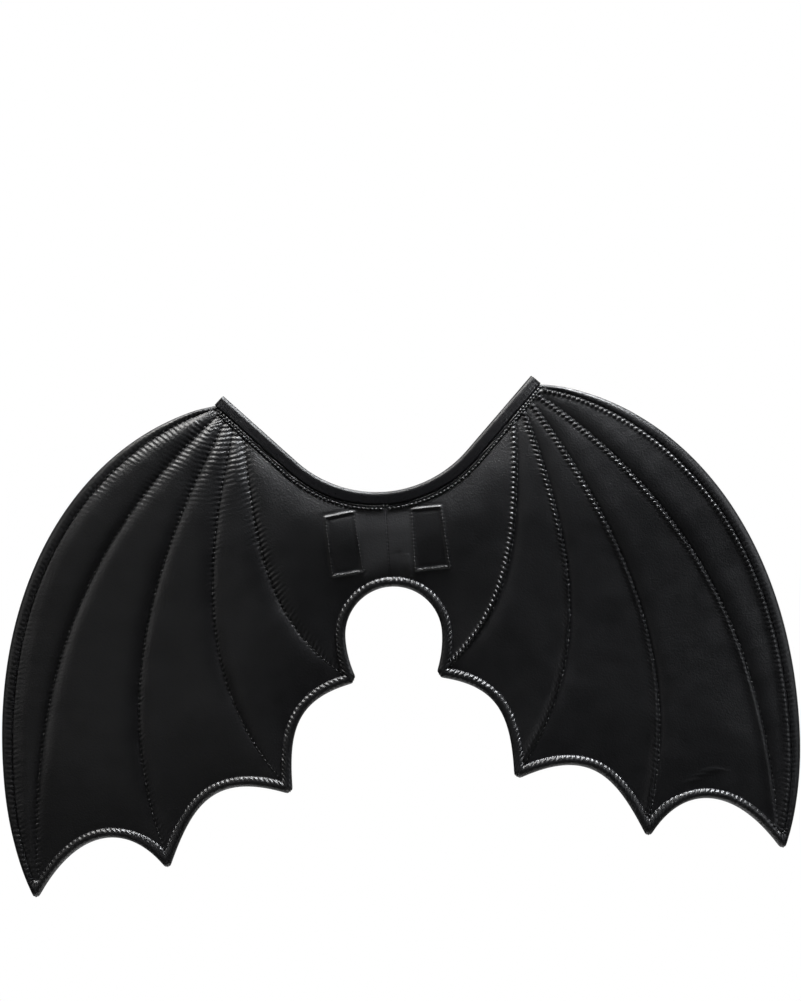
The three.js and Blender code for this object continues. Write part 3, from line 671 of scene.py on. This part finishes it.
# One object from several parts
def makePiece(name, parts, material, replaced=(), sharp=None):
    first = np.cumsum([0] + [len(p["points"]) for p in parts])
    quads = np.concatenate([p["quads"] + f for p, f in zip(parts, first)])
    triangles = np.concatenate([p["triangles"] + f for p, f in zip(parts, first)])
    points = np.concatenate([p["points"] for p in parts]) / 1000
    loops = np.concatenate([quads.ravel(), triangles.ravel()]).astype(np.int32)
    starts = np.concatenate([4 * np.arange(len(quads)), 4 * len(quads) + 3 * np.arange(len(triangles))])
    mesh = bpy.data.meshes.new(name)
    mesh.vertices.add(len(points))
    mesh.vertices.foreach_set("co", points.astype(np.float32).ravel())
    mesh.loops.add(len(loops))
    mesh.loops.foreach_set("vertex_index", loops)
    mesh.polygons.add(len(starts))
    mesh.polygons.foreach_set("loop_start", starts.astype(np.int32))
    mesh.polygons.foreach_set("use_smooth", np.ones(len(starts), bool))
    mesh.update(calc_edges=True)
    for label in ("seam", "paintedSheen"):
        values = np.concatenate([p[label] for p in parts]).astype(np.float32)
        mesh.attributes.new(label, "FLOAT", "POINT").data.foreach_set("value", values)
    if all("uv" in p for p in parts):
        uv = np.concatenate([p["uv"].reshape(-1, 2) for p in parts]).astype(np.float32)
        mesh.uv_layers.new(name="weave").data.foreach_set("uv", uv.ravel())
    if sharp:
        mesh.set_sharp_from_angle(angle=math.radians(sharp))
    mesh.materials.append(material)
    piece = bpy.data.objects.new(name, mesh)
    bpy.context.scene.collection.objects.link(piece)
    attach(piece, "root")
    if replaced:
        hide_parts(*replaced)
    print(f"{name}: {2 * len(quads) + len(triangles)} triangles")
    return piece


# A section carried through rings of points, closed at both ends, with (along, around) as its UV
def sweptPart(rings, lengthMm, aroundMm):
    count, around = rings.shape[:2]
    u, v = np.linspace(0, lengthMm / 1000, count), np.linspace(0, aroundMm / 1000, around + 1)
    i, j = np.meshgrid(np.arange(count - 1), np.arange(around), indexing="ij")
    uv = np.stack([np.stack([u[a], v[b]], -1) for a, b in ((i, j), (i, j + 1), (i + 1, j + 1), (i + 1, j))], -2)
    quads, cap = ringQuads(count, around), capQuads(around // 2 - 1, around)
    capUv = np.stack([np.zeros(cap.shape), v[cap]], -1)
    made = part(rings, np.concatenate([quads, cap, cap[:, ::-1] + (count - 1) * around]))
    allUv = np.concatenate([uv.reshape(-1, 4, 2), capUv, capUv[:, ::-1]])
    made["uv"] = allUv if np.array_equal(made["quads"][0], quads[0]) else allUv[:, ::-1]
    return made


binding = {  # flat tape folded over the scoop's edge
    "width": 10.5, "wall": 1.2, "slotHalf": 1.5, "round": 4.0, "lip": 0.3, "rings": 420, "ripple": 0.16,
    "ripplePitch": 6.4, "slackWave": 38, "slackHeight": 0.12, "slackInset": 0.22,
}


# Its section: two walls, a half turn of ellipse over the edge and the slot that holds the panel
def bindingPart():
    inner, outer = binding["slotHalf"], binding["slotHalf"] + binding["wall"]
    low, lipWidth = binding["width"], binding["lip"]
    arc = np.linspace(0, math.pi, 13)
    foldHeight, foldInset = outer * np.cos(arc), binding["round"] * (1 - np.sin(arc))
    outside = np.linspace(low - lipWidth, foldInset[0], 9)
    back = np.linspace(low, 1.5 * binding["wall"], 9)
    section = np.array([
        (outer - lipWidth, low), *[(outer, s) for s in outside[:-1]], *zip(foldHeight, foldInset),
        *[(-outer, s) for s in outside[::-1][1:]], (-(outer - lipWidth), low),
        *[(-inner, s) for s in back], *[(inner, s) for s in back[::-1]],
    ])
    distance = np.linspace(-scoopLength, scoopLength, binding["rings"] + 1)
    on = np.abs(section[:, 0]) > inner + 0.1
    loose = (eased(section[:, 1], 2, low) * on)[None]
    slack = unevenness(np.stack([distance, distance * 0], -1), binding["slackWave"], 4)[:, None]
    ripple = binding["ripple"] * np.cos(tau * distance / binding["ripplePitch"])[:, None] * loose
    swell = np.abs(ripple) + binding["slackHeight"] * slack * on[None]
    height = section[None, :, 0] + np.sign(section[None, :, 0]) * swell
    flat = scoopPoint(distance[:, None], section[None, :, 1] + binding["slackInset"] * slack * loose)
    return sweptPart(onWing(flat, height), 2 * scoopLength, 2 * low + 2 * outer)


strap = {  # flat woven elastic
    "width": 25, "thick": 1.5, "topZ": 105, "bottomZ": -94, "reach": 112, "outX": 127, "leaves": 45,
    "clear": 3, "endGap": 5, "lift": 4.65, "boxX": 35, "boxHeight": 52, "turn": 24, "rings": 360,
    "edgeThin": 0.55, "nip": 0.006, "nipPitch": 2.4,
}
loopRoute = [  # shares of the way out, of the reach and of half the height
    (0.94, 0.4, 1), (0.98, 0.74, 0.84), (1, 0.96, 0.42), (1, 1, -0.05),
    (0.97, 0.95, -0.52), (0.84, 0.72, -0.9), (0.58, 0.4, -1), (0.29, 0.16, -0.8),
]


# Smooth curve through points, with knots spaced by the root of their distance
def throughPoints(points, count):
    ends = [2 * points[0] - points[1], *points, 2 * points[-1] - points[-2]]
    runs = []
    for a, b, c, d in zip(ends, ends[1:], ends[2:], ends[3:]):
        k1, k2, k3 = np.cumsum([math.sqrt(np.linalg.norm(q - p)) for p, q in ((a, b), (b, c), (c, d))])
        t = np.linspace(k1, k2, 60, endpoint=False)[:, None]
        ab, bc = a + (b - a) * t / k1, b + (c - b) * (t - k1) / (k2 - k1)
        cd = c + (d - c) * (t - k2) / (k3 - k2)
        abc, bcd = ab + (bc - ab) * t / k2, bc + (cd - bc) * (t - k1) / (k3 - k1)
        runs.append(abc + (bcd - abc) * (t - k1) / (k2 - k1))
    curve = np.concatenate([*runs, points[-1][None]])
    run = np.concatenate([[0], np.cumsum(np.linalg.norm(np.diff(curve, axis=0), axis=1))])
    return sampled(curve, run, np.linspace(0, run[-1], count)), run[-1]


# The route: up from the box in an arc, along the inner face to the shoulder, round the arm and back
def strapPart(side):
    lift, width, boxTop, boxX = strap["lift"], strap["width"], strap["boxHeight"] / 2, strap["boxX"]
    leave = scoopPoint(scoopLength - strap["leaves"], cut["bindingWidth"] + width / 2 + strap["clear"])

    def onBack(x, z, height=lift):
        return onWing(np.array([x, z], float), height)

    turn, radius = np.radians([18, 38, 56]), strap["turn"]
    bend = np.stack([boxX + radius * (1 - np.cos(turn)), 0.25 * boxTop + radius * np.sin(turn)], -1)
    points = [onBack(boxX, strap["endGap"] / 2), onBack(boxX, 0.25 * boxTop), *[onBack(*place) for place in bend]]
    points += [onBack(*mix(bend[-1], leave, s)) for s in (0.2, 0.4, 0.6, 0.8, 0.94, 1)]
    points.append(onBack(leave[0] + width / 8, leave[1] + width / 4, lift + width / 8))
    middle, half = (strap["topZ"] + strap["bottomZ"]) / 2, (strap["topZ"] - strap["bottomZ"]) / 2
    for out, forward, up in loopRoute:
        points.append(np.array([mix(boxX, strap["outX"], out), forward * strap["reach"], middle + up * half]))
    points += [onBack(boxX + 6, -1.5 * boxTop, lift + width / 16), onBack(boxX + 2, -1.2 * boxTop)]
    points += [onBack(boxX + 1, -boxTop), onBack(boxX, -boxTop / 2), onBack(boxX, -strap["endGap"] / 2)]
    centre, length = throughPoints(points, strap["rings"] + 1)
    tangent = unit(np.gradient(centre, axis=0))
    slope = slopeAlongX(centre[:, 0], centre[:, 2])
    wide = np.stack([np.ones_like(slope), slope, np.zeros_like(slope)], -1)
    wide = unit(wide - (wide * tangent).sum(1, keepdims=True) * tangent)
    thick = np.cross(tangent, wide)
    even = np.linspace(-1, 1, 13)
    crown = 0.5 * strap["thick"] * (1 - strap["edgeThin"] * np.abs(even) ** 8)
    back, front = (np.stack([even * width / 2, sign * crown], -1) for sign in (-1, 1))
    section = np.concatenate([back, front[::-1]])
    nip = 1 + strap["nip"] * np.cos(tau * np.linspace(0, length, strap["rings"] + 1) / strap["nipPitch"])
    rings = centre[:, None] + wide[:, None] * section[None, :, :1] * nip[:, None, None]
    rings = rings + thick[:, None] * section[None, :, 1:]
    return sweptPart(rings * np.array([side, 1, 1]), length, 2 * width + 2 * strap["thick"])


pips = {"below": 1.0, "lift": 0.75, "length": 3.7, "radius": 0.95}
grainRings = np.array([  # a thread's rings: share of its length, of its radius, and how far it is raised
    (-0.5, 0.35, -0.55), (-0.36, 0.9, -0.1), (0.0, 1.0, 0.25), (0.36, 0.9, -0.1), (0.5, 0.35, -0.55),
])


# Short threads: six-sided grains laid from hole to hole, their ends dipping into the leather
def threadPart(centres, tangents, normals, length, radius):
    turn = np.arange(6) / 6 * tau
    wide = np.cross(normals, tangents)
    ahead, size, raised = (grainRings[:, k : k + 1] for k in range(3))
    up = raised * radius * 2 + size * radius * np.sin(turn)
    out = size * radius * np.cos(turn)
    points = (centres[:, None, None] + tangents[:, None, None] * (ahead * length)[None, :, :, None]
              + normals[:, None, None] * up[None, :, :, None] + wide[:, None, None] * out[None, :, :, None])
    caps = np.array([(0, 1, 2, 3), (0, 3, 4, 5), (27, 26, 25, 24), (29, 28, 27, 24)])[:, ::-1]
    one = np.concatenate([ringQuads(5, 6), caps])
    return part(points, (one[None] + 30 * np.arange(len(centres))[:, None, None]).reshape(-1, 4))


# Threads of one wing on both faces: ribs, border, rolls, neck and box
def stitchPart(side):
    pitch, neckPitch, boxPitch = stitching["pitch"], stitching["neckPitch"], stitching["boxPitch"]
    radius, placed = stitching["threadRadius"], []

    def sew(line, panel, start, step, skip=2.0):
        length = lengthOf(line)
        run = np.arange(start, length - skip, step)
        run = run[run > skip]
        flat = along(line, run / length)
        ahead = along(line, np.minimum(1, (run + 0.5) / length)) - along(line, (run - 0.5) / length)
        near = measure(flat, panel)
        for face, sign in (("outer", -1), ("inner", 1)):
            height = quiltHeight(near, face, side) + radius * stitching["threadLift"]
            point, above = onWing(flat, sign * height), onWing(flat, sign * (height + 1))
            tangent = onWing(flat + 0.5 * ahead, sign * height) - onWing(flat - 0.5 * ahead, sign * height)
            placed.append(np.stack([point, tangent, above - point]) * [side, 1, 1])

    for index, line in enumerate(seams[:5]):
        sew(line, index, (levelRun[index] + pitch / 2) % pitch, pitch)
    for index in (1, 2, 3, 4):
        sew(lowerSeams[index], index, pitch / 2, pitch)
    neck = evenly(scoopPoint(np.linspace(1.5, scoopLength - 4, 1500), stitching["neckInset"] + 0.01))
    sew(neck, 4, neckPitch / 2, neckPitch, 1.0)
    sew(boxOutline(side), 4, boxPitch / 2, boxPitch, 0.5)
    centres, tangents, normals = np.concatenate(placed, 1)
    return threadPart(centres, unit(tangents), unit(normals), stitching["threadLength"], radius)


# Pips of leather that stand up between the stitches of the neck
def pipPart(side):
    inset, mirror = stitching["neckInset"], np.array([side, 1, 1])
    run = np.arange(stitching["neckPitch"], scoopLength - 6, stitching["neckPitch"])
    flat = scoopPoint(run, inset + pips["below"])
    height = quiltHeight(measure(flat, 4), "outer", side) + pips["lift"]
    step = scoopPoint(run + 0.5, inset) - scoopPoint(run - 0.5, inset)
    point = onWing(flat, -height)
    tangent = unit(onWing(flat + step / 2, -height) - onWing(flat - step / 2, -height))
    normal = onWing(flat, -height - 1) - point
    return threadPart(point * mirror, tangent * mirror, normal * mirror, pips["length"], pips["radius"])


# Shader groups

def addNode(tree, kind, inputs=None, **settings):
    made = tree.nodes.new(kind)
    for key, value in settings.items():
        setattr(made, key, value)
    for key, value in (inputs or {}).items():
        if isinstance(value, bpy.types.NodeSocket):
            tree.links.new(value, made.inputs[key])
        else:
            made.inputs[key].default_value = value
    return made


def addGroup(name, inputs, outputs):
    tree = bpy.data.node_groups.new(name, "ShaderNodeTree")
    for label, kind, value in inputs:
        made = tree.interface.new_socket(name=label, in_out="INPUT", socket_type=kind)
        if value is not None:
            made.default_value = value
    for label in outputs:
        tree.interface.new_socket(name=label, in_out="OUTPUT", socket_type="NodeSocketFloat")
    return tree, tree.nodes.new("NodeGroupInput").outputs, tree.nodes.new("NodeGroupOutput").inputs


def calculate(tree, operation, *values, clamp=False):
    return addNode(tree, "ShaderNodeMath", dict(enumerate(values)), operation=operation, use_clamp=clamp).outputs[0]


def noise(tree, place, scale, detail):
    return addNode(tree, "ShaderNodeTexNoise", {"Vector": place, "Scale": scale, "Detail": detail}).outputs


def ranged(tree, value, *limits):  # from the first two limits to the last two
    return addNode(tree, "ShaderNodeMapRange", {0: value, **dict(enumerate(limits, 1))}).outputs[0]


def blended(tree, share, a, b):
    return addNode(tree, "ShaderNodeMix", {0: share, 6: a, 7: b}, data_type="RGBA").outputs[2]


def addBump(tree, shader, height, distance, strength=1.0):
    bump = addNode(tree, "ShaderNodeBump", {"Height": height, "Distance": distance, "Strength": strength})
    tree.links.new(bump.outputs[0], shader.inputs["Normal"])


# Leather grain: pebbled cells about a millimetre across, broken up by finer noise
def makeGrainGroup():
    tree, given, out = addGroup(
        "leather grain",
        [("Vector", "NodeSocketVector", None), ("Cells per metre", "NodeSocketFloat", 720.0),
         ("Depth", "NodeSocketFloat", 1.0)],
        ["Height", "Tone"],
    )
    warp = noise(tree, given["Vector"], 420.0, 2.0)["Color"]
    bent = addNode(tree, "ShaderNodeVectorMath", {0: warp, 1: (0.0009, 0.0009, 0.0009)}, operation="MULTIPLY")
    moved = addNode(tree, "ShaderNodeVectorMath", {0: given["Vector"], 1: bent.outputs[0]}, operation="ADD")
    cells = addNode(tree, "ShaderNodeTexVoronoi", {"Vector": moved.outputs[0], "Scale": given["Cells per metre"]},
                    feature="SMOOTH_F1")
    fine = noise(tree, given["Vector"], 2600.0, 3.0)[0]
    both = calculate(tree, "ADD", calculate(tree, "MULTIPLY", cells.outputs["Distance"], -0.7),
                     calculate(tree, "MULTIPLY", fine, 0.35))
    tree.links.new(calculate(tree, "MULTIPLY", both, given["Depth"]), out["Height"])
    tree.links.new(noise(tree, given["Vector"], 60.0, 5.0)[0], out["Tone"])
    return tree


# Dust and rub: a mask that is strongest where the surface looks up and where noise lets it settle
def makeDustGroup():
    tree, given, out = addGroup(
        "dust and rub",
        [("Vector", "NodeSocketVector", None), ("Normal", "NodeSocketVector", None),
         ("Amount", "NodeSocketFloat", 0.3)],
        ["Mask"],
    )
    up = addNode(tree, "ShaderNodeSeparateXYZ", {0: given["Normal"]}).outputs[2]
    facing = calculate(tree, "MULTIPLY_ADD", up, 0.5, 0.5, clamp=True)
    spotted = ranged(tree, noise(tree, given["Vector"], 900.0, 5.0)[0], 0.5, 0.75)
    settled = calculate(tree, "MULTIPLY", spotted, noise(tree, given["Vector"], 22.0, 3.0)[0])
    lying = calculate(tree, "MULTIPLY", settled, facing)
    tree.links.new(calculate(tree, "MULTIPLY", lying, given["Amount"], clamp=True), out["Mask"])
    return tree


# Weave: ribs along the length and picks across it, from the piece's own UV in metres
def makeWeaveGroup():
    tree, given, out = addGroup(
        "weave",
        [("Vector", "NodeSocketVector", None), ("Ribs per metre", "NodeSocketFloat", 900.0),
         ("Picks per metre", "NodeSocketFloat", 1500.0)],
        ["Height", "Tone"],
    )
    place = addNode(tree, "ShaderNodeSeparateXYZ", {0: given["Vector"]}).outputs

    def waves(axis, count):
        return calculate(tree, "SINE", calculate(tree, "MULTIPLY", place[axis],
                                                 calculate(tree, "MULTIPLY", given[count], tau)))

    ribs = calculate(tree, "ABSOLUTE", waves(1, "Ribs per metre"))
    picks = calculate(tree, "MULTIPLY", waves(0, "Picks per metre"), 0.3)
    tree.links.new(calculate(tree, "ADD", ribs, picks), out["Height"])
    tree.links.new(noise(tree, given["Vector"], 700.0, 3.0)[0], out["Tone"])
    return tree


def newMaterial(name):
    material = bpy.data.materials.new(name)
    material.use_nodes = True
    tree = material.node_tree
    tree.nodes.clear()
    output = tree.nodes.new("ShaderNodeOutputMaterial")
    shader = tree.nodes.new("ShaderNodeBsdfPrincipled")
    tree.links.new(shader.outputs[0], output.inputs[0])
    return material, tree, shader


# Leather colours: dark and light are the grain's tone and dust settles where the surface looks up. 'seam' is painted
# seam shading mixed in near the stitched lines. 'paintedSheen' is a painted sheen on the yoke's middle strip
leather = {
    "dark": (0.0026, 0.0026, 0.003, 1), "light": (0.0036, 0.0036, 0.0041, 1), "dust": (0.05, 0.05, 0.053, 1),
    "seam": (0.005, 0.005, 0.006, 1), "paintedSheen": (0.0135, 0.0135, 0.0142, 1), "dustAmount": 0.16,
    "seamShadingAmount": 0.55, "roughness": (0.33, 0.38), "specular": 0.5, "grainDepth": 1.0, "bump": 0.00022,
}
tape = {
    "name": "black tape", "dark": (0.0012, 0.0012, 0.0016, 1), "light": (0.0026, 0.0026, 0.0032, 1),
    "ribs": 1400, "picks": 1900, "depth": 0.00003, "roughness": 0.3, "sheen": 0.0, "specular": 0.28,
}
elastic = {
    "name": "black elastic", "dark": (0.003, 0.003, 0.004, 1), "light": (0.02, 0.02, 0.022, 1),
    "ribs": 560, "picks": 1300, "depth": 0.0005, "roughness": 0.75, "sheen": 0.2, "specular": 0.3,
}
thread = {"tone": (0.004, 0.014), "roughness": 0.45, "bump": 0.0001, "twist": 2500.0}


def makeLeather():
    material, tree, shader = newMaterial("black leather")
    place = addNode(tree, "ShaderNodeTexCoord").outputs["Object"]
    normal = addNode(tree, "ShaderNodeNewGeometry").outputs["Normal"]
    seam, paintedSheen = (addNode(tree, "ShaderNodeAttribute", attribute_name=name).outputs["Fac"]
                    for name in ("seam", "paintedSheen"))
    grain = addNode(tree, "ShaderNodeGroup", {"Vector": place, "Depth": leather["grainDepth"]},
                    node_tree=grainGroup).outputs
    dust = addNode(tree, "ShaderNodeGroup", {"Vector": place, "Normal": normal, "Amount": leather["dustAmount"]},
                   node_tree=dustGroup).outputs
    clean = blended(tree, ranged(tree, grain["Tone"], 0.35, 0.65), leather["dark"], leather["light"])
    dusty = blended(tree, dust["Mask"], clean, leather["dust"])
    # Painted seam shading: a set tone mixed in near the seams, standing in for how light falls in the grooves
    seamShaded = blended(tree, calculate(tree, "MULTIPLY", seam, leather["seamShadingAmount"]), dusty, leather["seam"])
    # Painted sheen: a lighter tone on the yoke's middle strip, standing in for the light its bulge catches
    sheenPatches = calculate(tree, "MULTIPLY", paintedSheen, ranged(tree, grain["Tone"], 0.3, 0.7, 0.75, 1.0))
    tree.links.new(blended(tree, sheenPatches, seamShaded, leather["paintedSheen"]), shader.inputs["Base Color"])
    rough = ranged(tree, grain["Tone"], 0.3, 0.7, *leather["roughness"])
    tree.links.new(rough, shader.inputs["Roughness"])
    shader.inputs["Specular IOR Level"].default_value = leather["specular"]
    addBump(tree, shader, grain["Height"], leather["bump"])
    return material


def makeCloth(cloth):
    material, tree, shader = newMaterial(cloth["name"])
    place = addNode(tree, "ShaderNodeTexCoord").outputs["UV"]
    counts = {"Ribs per metre": cloth["ribs"], "Picks per metre": cloth["picks"]}
    weave = addNode(tree, "ShaderNodeGroup", {"Vector": place, **counts}, node_tree=weaveGroup).outputs
    tree.links.new(blended(tree, weave["Tone"], cloth["dark"], cloth["light"]), shader.inputs["Base Color"])
    rough = ranged(tree, weave["Tone"], 0.0, 1.0, cloth["roughness"] - 0.08, cloth["roughness"] + 0.08)
    tree.links.new(rough, shader.inputs["Roughness"])
    shader.inputs["Sheen Weight"].default_value = cloth["sheen"]
    shader.inputs["Sheen Roughness"].default_value = 0.4
    shader.inputs["Specular IOR Level"].default_value = cloth["specular"]
    addBump(tree, shader, weave["Height"], cloth["depth"])
    return material


def makeThread():
    material, tree, shader = newMaterial("black thread")
    twist = noise(tree, addNode(tree, "ShaderNodeTexCoord").outputs["Object"], thread["twist"], 2.0)[0]
    tree.links.new(ranged(tree, twist, 0.0, 1.0, *thread["tone"]), shader.inputs["Base Color"])
    shader.inputs["Roughness"].default_value = thread["roughness"]
    addBump(tree, shader, twist, thread["bump"], 0.6)
    return material


grainGroup, dustGroup, weaveGroup = makeGrainGroup(), makeDustGroup(), makeWeaveGroup()
blackLeather, blackTape, blackElastic, blackThread = makeLeather(), makeCloth(tape), makeCloth(elastic), makeThread()
print("materials made")

# Pieces
for label, side in (("right", 1), ("left", -1)):
    wing = makePiece(f"wing_{label}_padded", [quiltPart(side), rollPart(side), pipPart(side)], blackLeather,
                     [f"wing_{label}"])
    makePiece(f"stitches_{label}", [stitchPart(side)], blackThread)
    makePiece(f"arm_loop_{label}", [strapPart(side)], blackElastic, [f"strap_{label}"], sharp=50)
makePiece("neck_tape", [bindingPart()], blackTape, ["neck_binding"], sharp=60)

# Floor, light and camera
studio = {
    "floorZ": -1.3, "floorRadius": 2.2, "floor": (0.7, 0.7, 0.69, 1), "seenFloor": (0.7, 0.7, 0.7, 1),
    "white": (1, 1, 1, 1), "fill": (0.93, 0.95, 1, 1), "fillStrength": 0.03,
}
bpy.ops.mesh.primitive_circle_add(vertices=96, radius=studio["floorRadius"], fill_type="NGON",
                                  location=(0, 0, studio["floorZ"]))
floor = bpy.context.object
floor.name = "floor"
floorMaterial, floorTree, floorShader = newMaterial("pale floor")
floorShader.inputs["Base Color"].default_value = studio["floor"]
floorShader.inputs["Roughness"].default_value = 0.9
toCamera = addNode(floorTree, "ShaderNodeLightPath").outputs["Is Camera Ray"]
glow = blended(floorTree, toCamera, (0, 0, 0, 1), studio["seenFloor"])  # pale to the camera, dark to the wings
floorTree.links.new(glow, floorShader.inputs["Emission Color"])
floorShader.inputs["Emission Strength"].default_value = 1.0
floor.data.materials.append(floorMaterial)

world = bpy.data.worlds.new("studio white")
bpy.context.scene.world = world
world.use_nodes = True
sky = world.node_tree
sky.nodes.clear()
seen = addNode(sky, "ShaderNodeBackground", {"Color": studio["white"], "Strength": 1.0}).outputs[0]
lit = addNode(sky, "ShaderNodeBackground", {"Color": studio["fill"], "Strength": studio["fillStrength"]}).outputs[0]
toCamera = addNode(sky, "ShaderNodeLightPath").outputs["Is Camera Ray"]
chosen = addNode(sky, "ShaderNodeMixShader", {0: toCamera, 1: lit, 2: seen}).outputs[0]
sky.links.new(chosen, sky.nodes.new("ShaderNodeOutputWorld").inputs[0])

# Overhead boxes graze the padding, side boxes its seams, and wide fills give flat panels their tone
warm, cool, white = (1, 0.985, 0.965), (0.95, 0.97, 1), (1, 1, 1)
softBoxes = [
    {"name": "left box", "at": (-0.75, -0.4, 1.75), "aim": (-0.16, 0, -0.05), "size": 1.2, "watts": 5.6,
     "beam": 32, "colour": warm},
    {"name": "right box", "at": (0.7, -0.4, 1.75), "aim": (0.2, 0, -0.05), "size": 0.9, "watts": 8.5,
     "beam": 32, "colour": cool},
    {"name": "left side box", "at": (-1.8, -0.5, 0.5), "aim": (-0.2, 0, -0.08), "size": 1.1, "watts": 0.55,
     "beam": 60, "colour": warm},
    {"name": "right side box", "at": (1.8, -0.5, 0.5), "aim": (0.2, 0, -0.08), "size": 1.4, "watts": 1.7,
     "beam": 60, "colour": cool},
    {"name": "left fill", "at": (-1.5, -2.9, -0.1), "aim": (-0.1, 0, 0), "size": 1.8, "watts": 2.6,
     "beam": 180, "colour": white},
    {"name": "right fill", "at": (1.3, -3.0, 0.5), "aim": (0.1, 0, 0), "size": 1.8, "watts": 0.05,
     "beam": 180, "colour": (0.95, 0.96, 1)},
    {"name": "back light", "at": (0.4, 2.2, 1.6), "aim": (0, 0, -0.05), "size": 1.4, "watts": 30,
     "beam": 180, "colour": white},
    {"name": "back fill", "at": (0.9, 2.9, 0.2), "aim": (0, 0, 0), "size": 3.0, "watts": 36,
     "beam": 180, "colour": white},
]
for row in softBoxes:
    lamp = bpy.data.lights.new(row["name"], "AREA")
    lamp.shape, lamp.size, lamp.energy, lamp.color = "SQUARE", row["size"], row["watts"], row["colour"]
    lamp.spread = math.radians(row["beam"])
    lampObject = bpy.data.objects.new(row["name"], lamp)
    lampObject.location = row["at"]
    lampObject.rotation_euler = (Vector(row["aim"]) - Vector(row["at"])).to_track_quat("-Z", "Y").to_euler()
    bpy.context.scene.collection.objects.link(lampObject)

view = {  # metres: how far off the camera stands and how wide it sees there
    "distance": 6.0, "wide": 0.8358, "aimX": 0.0130, "aimZ": 0.0338, "planeY": 0.04, "roll": math.radians(3.8),
}
camera = bpy.data.cameras.new("camera")
camera.sensor_width = 36
camera.lens = 36 * view["distance"] / view["wide"]
camera.clip_end = 50
cameraObject = bpy.data.objects.new("camera", camera)
cameraObject.location = (view["aimX"], view["planeY"] - view["distance"], view["aimZ"])
cameraObject.rotation_mode = "XYZ"
cameraObject.rotation_euler = (math.pi / 2, view["roll"], 0)
bpy.context.scene.collection.objects.link(cameraObject)
bpy.context.scene.camera = cameraObject
bpy.context.scene.view_settings.view_transform = "Standard"
bpy.context.scene.view_settings.look = "None"
print("studio set")
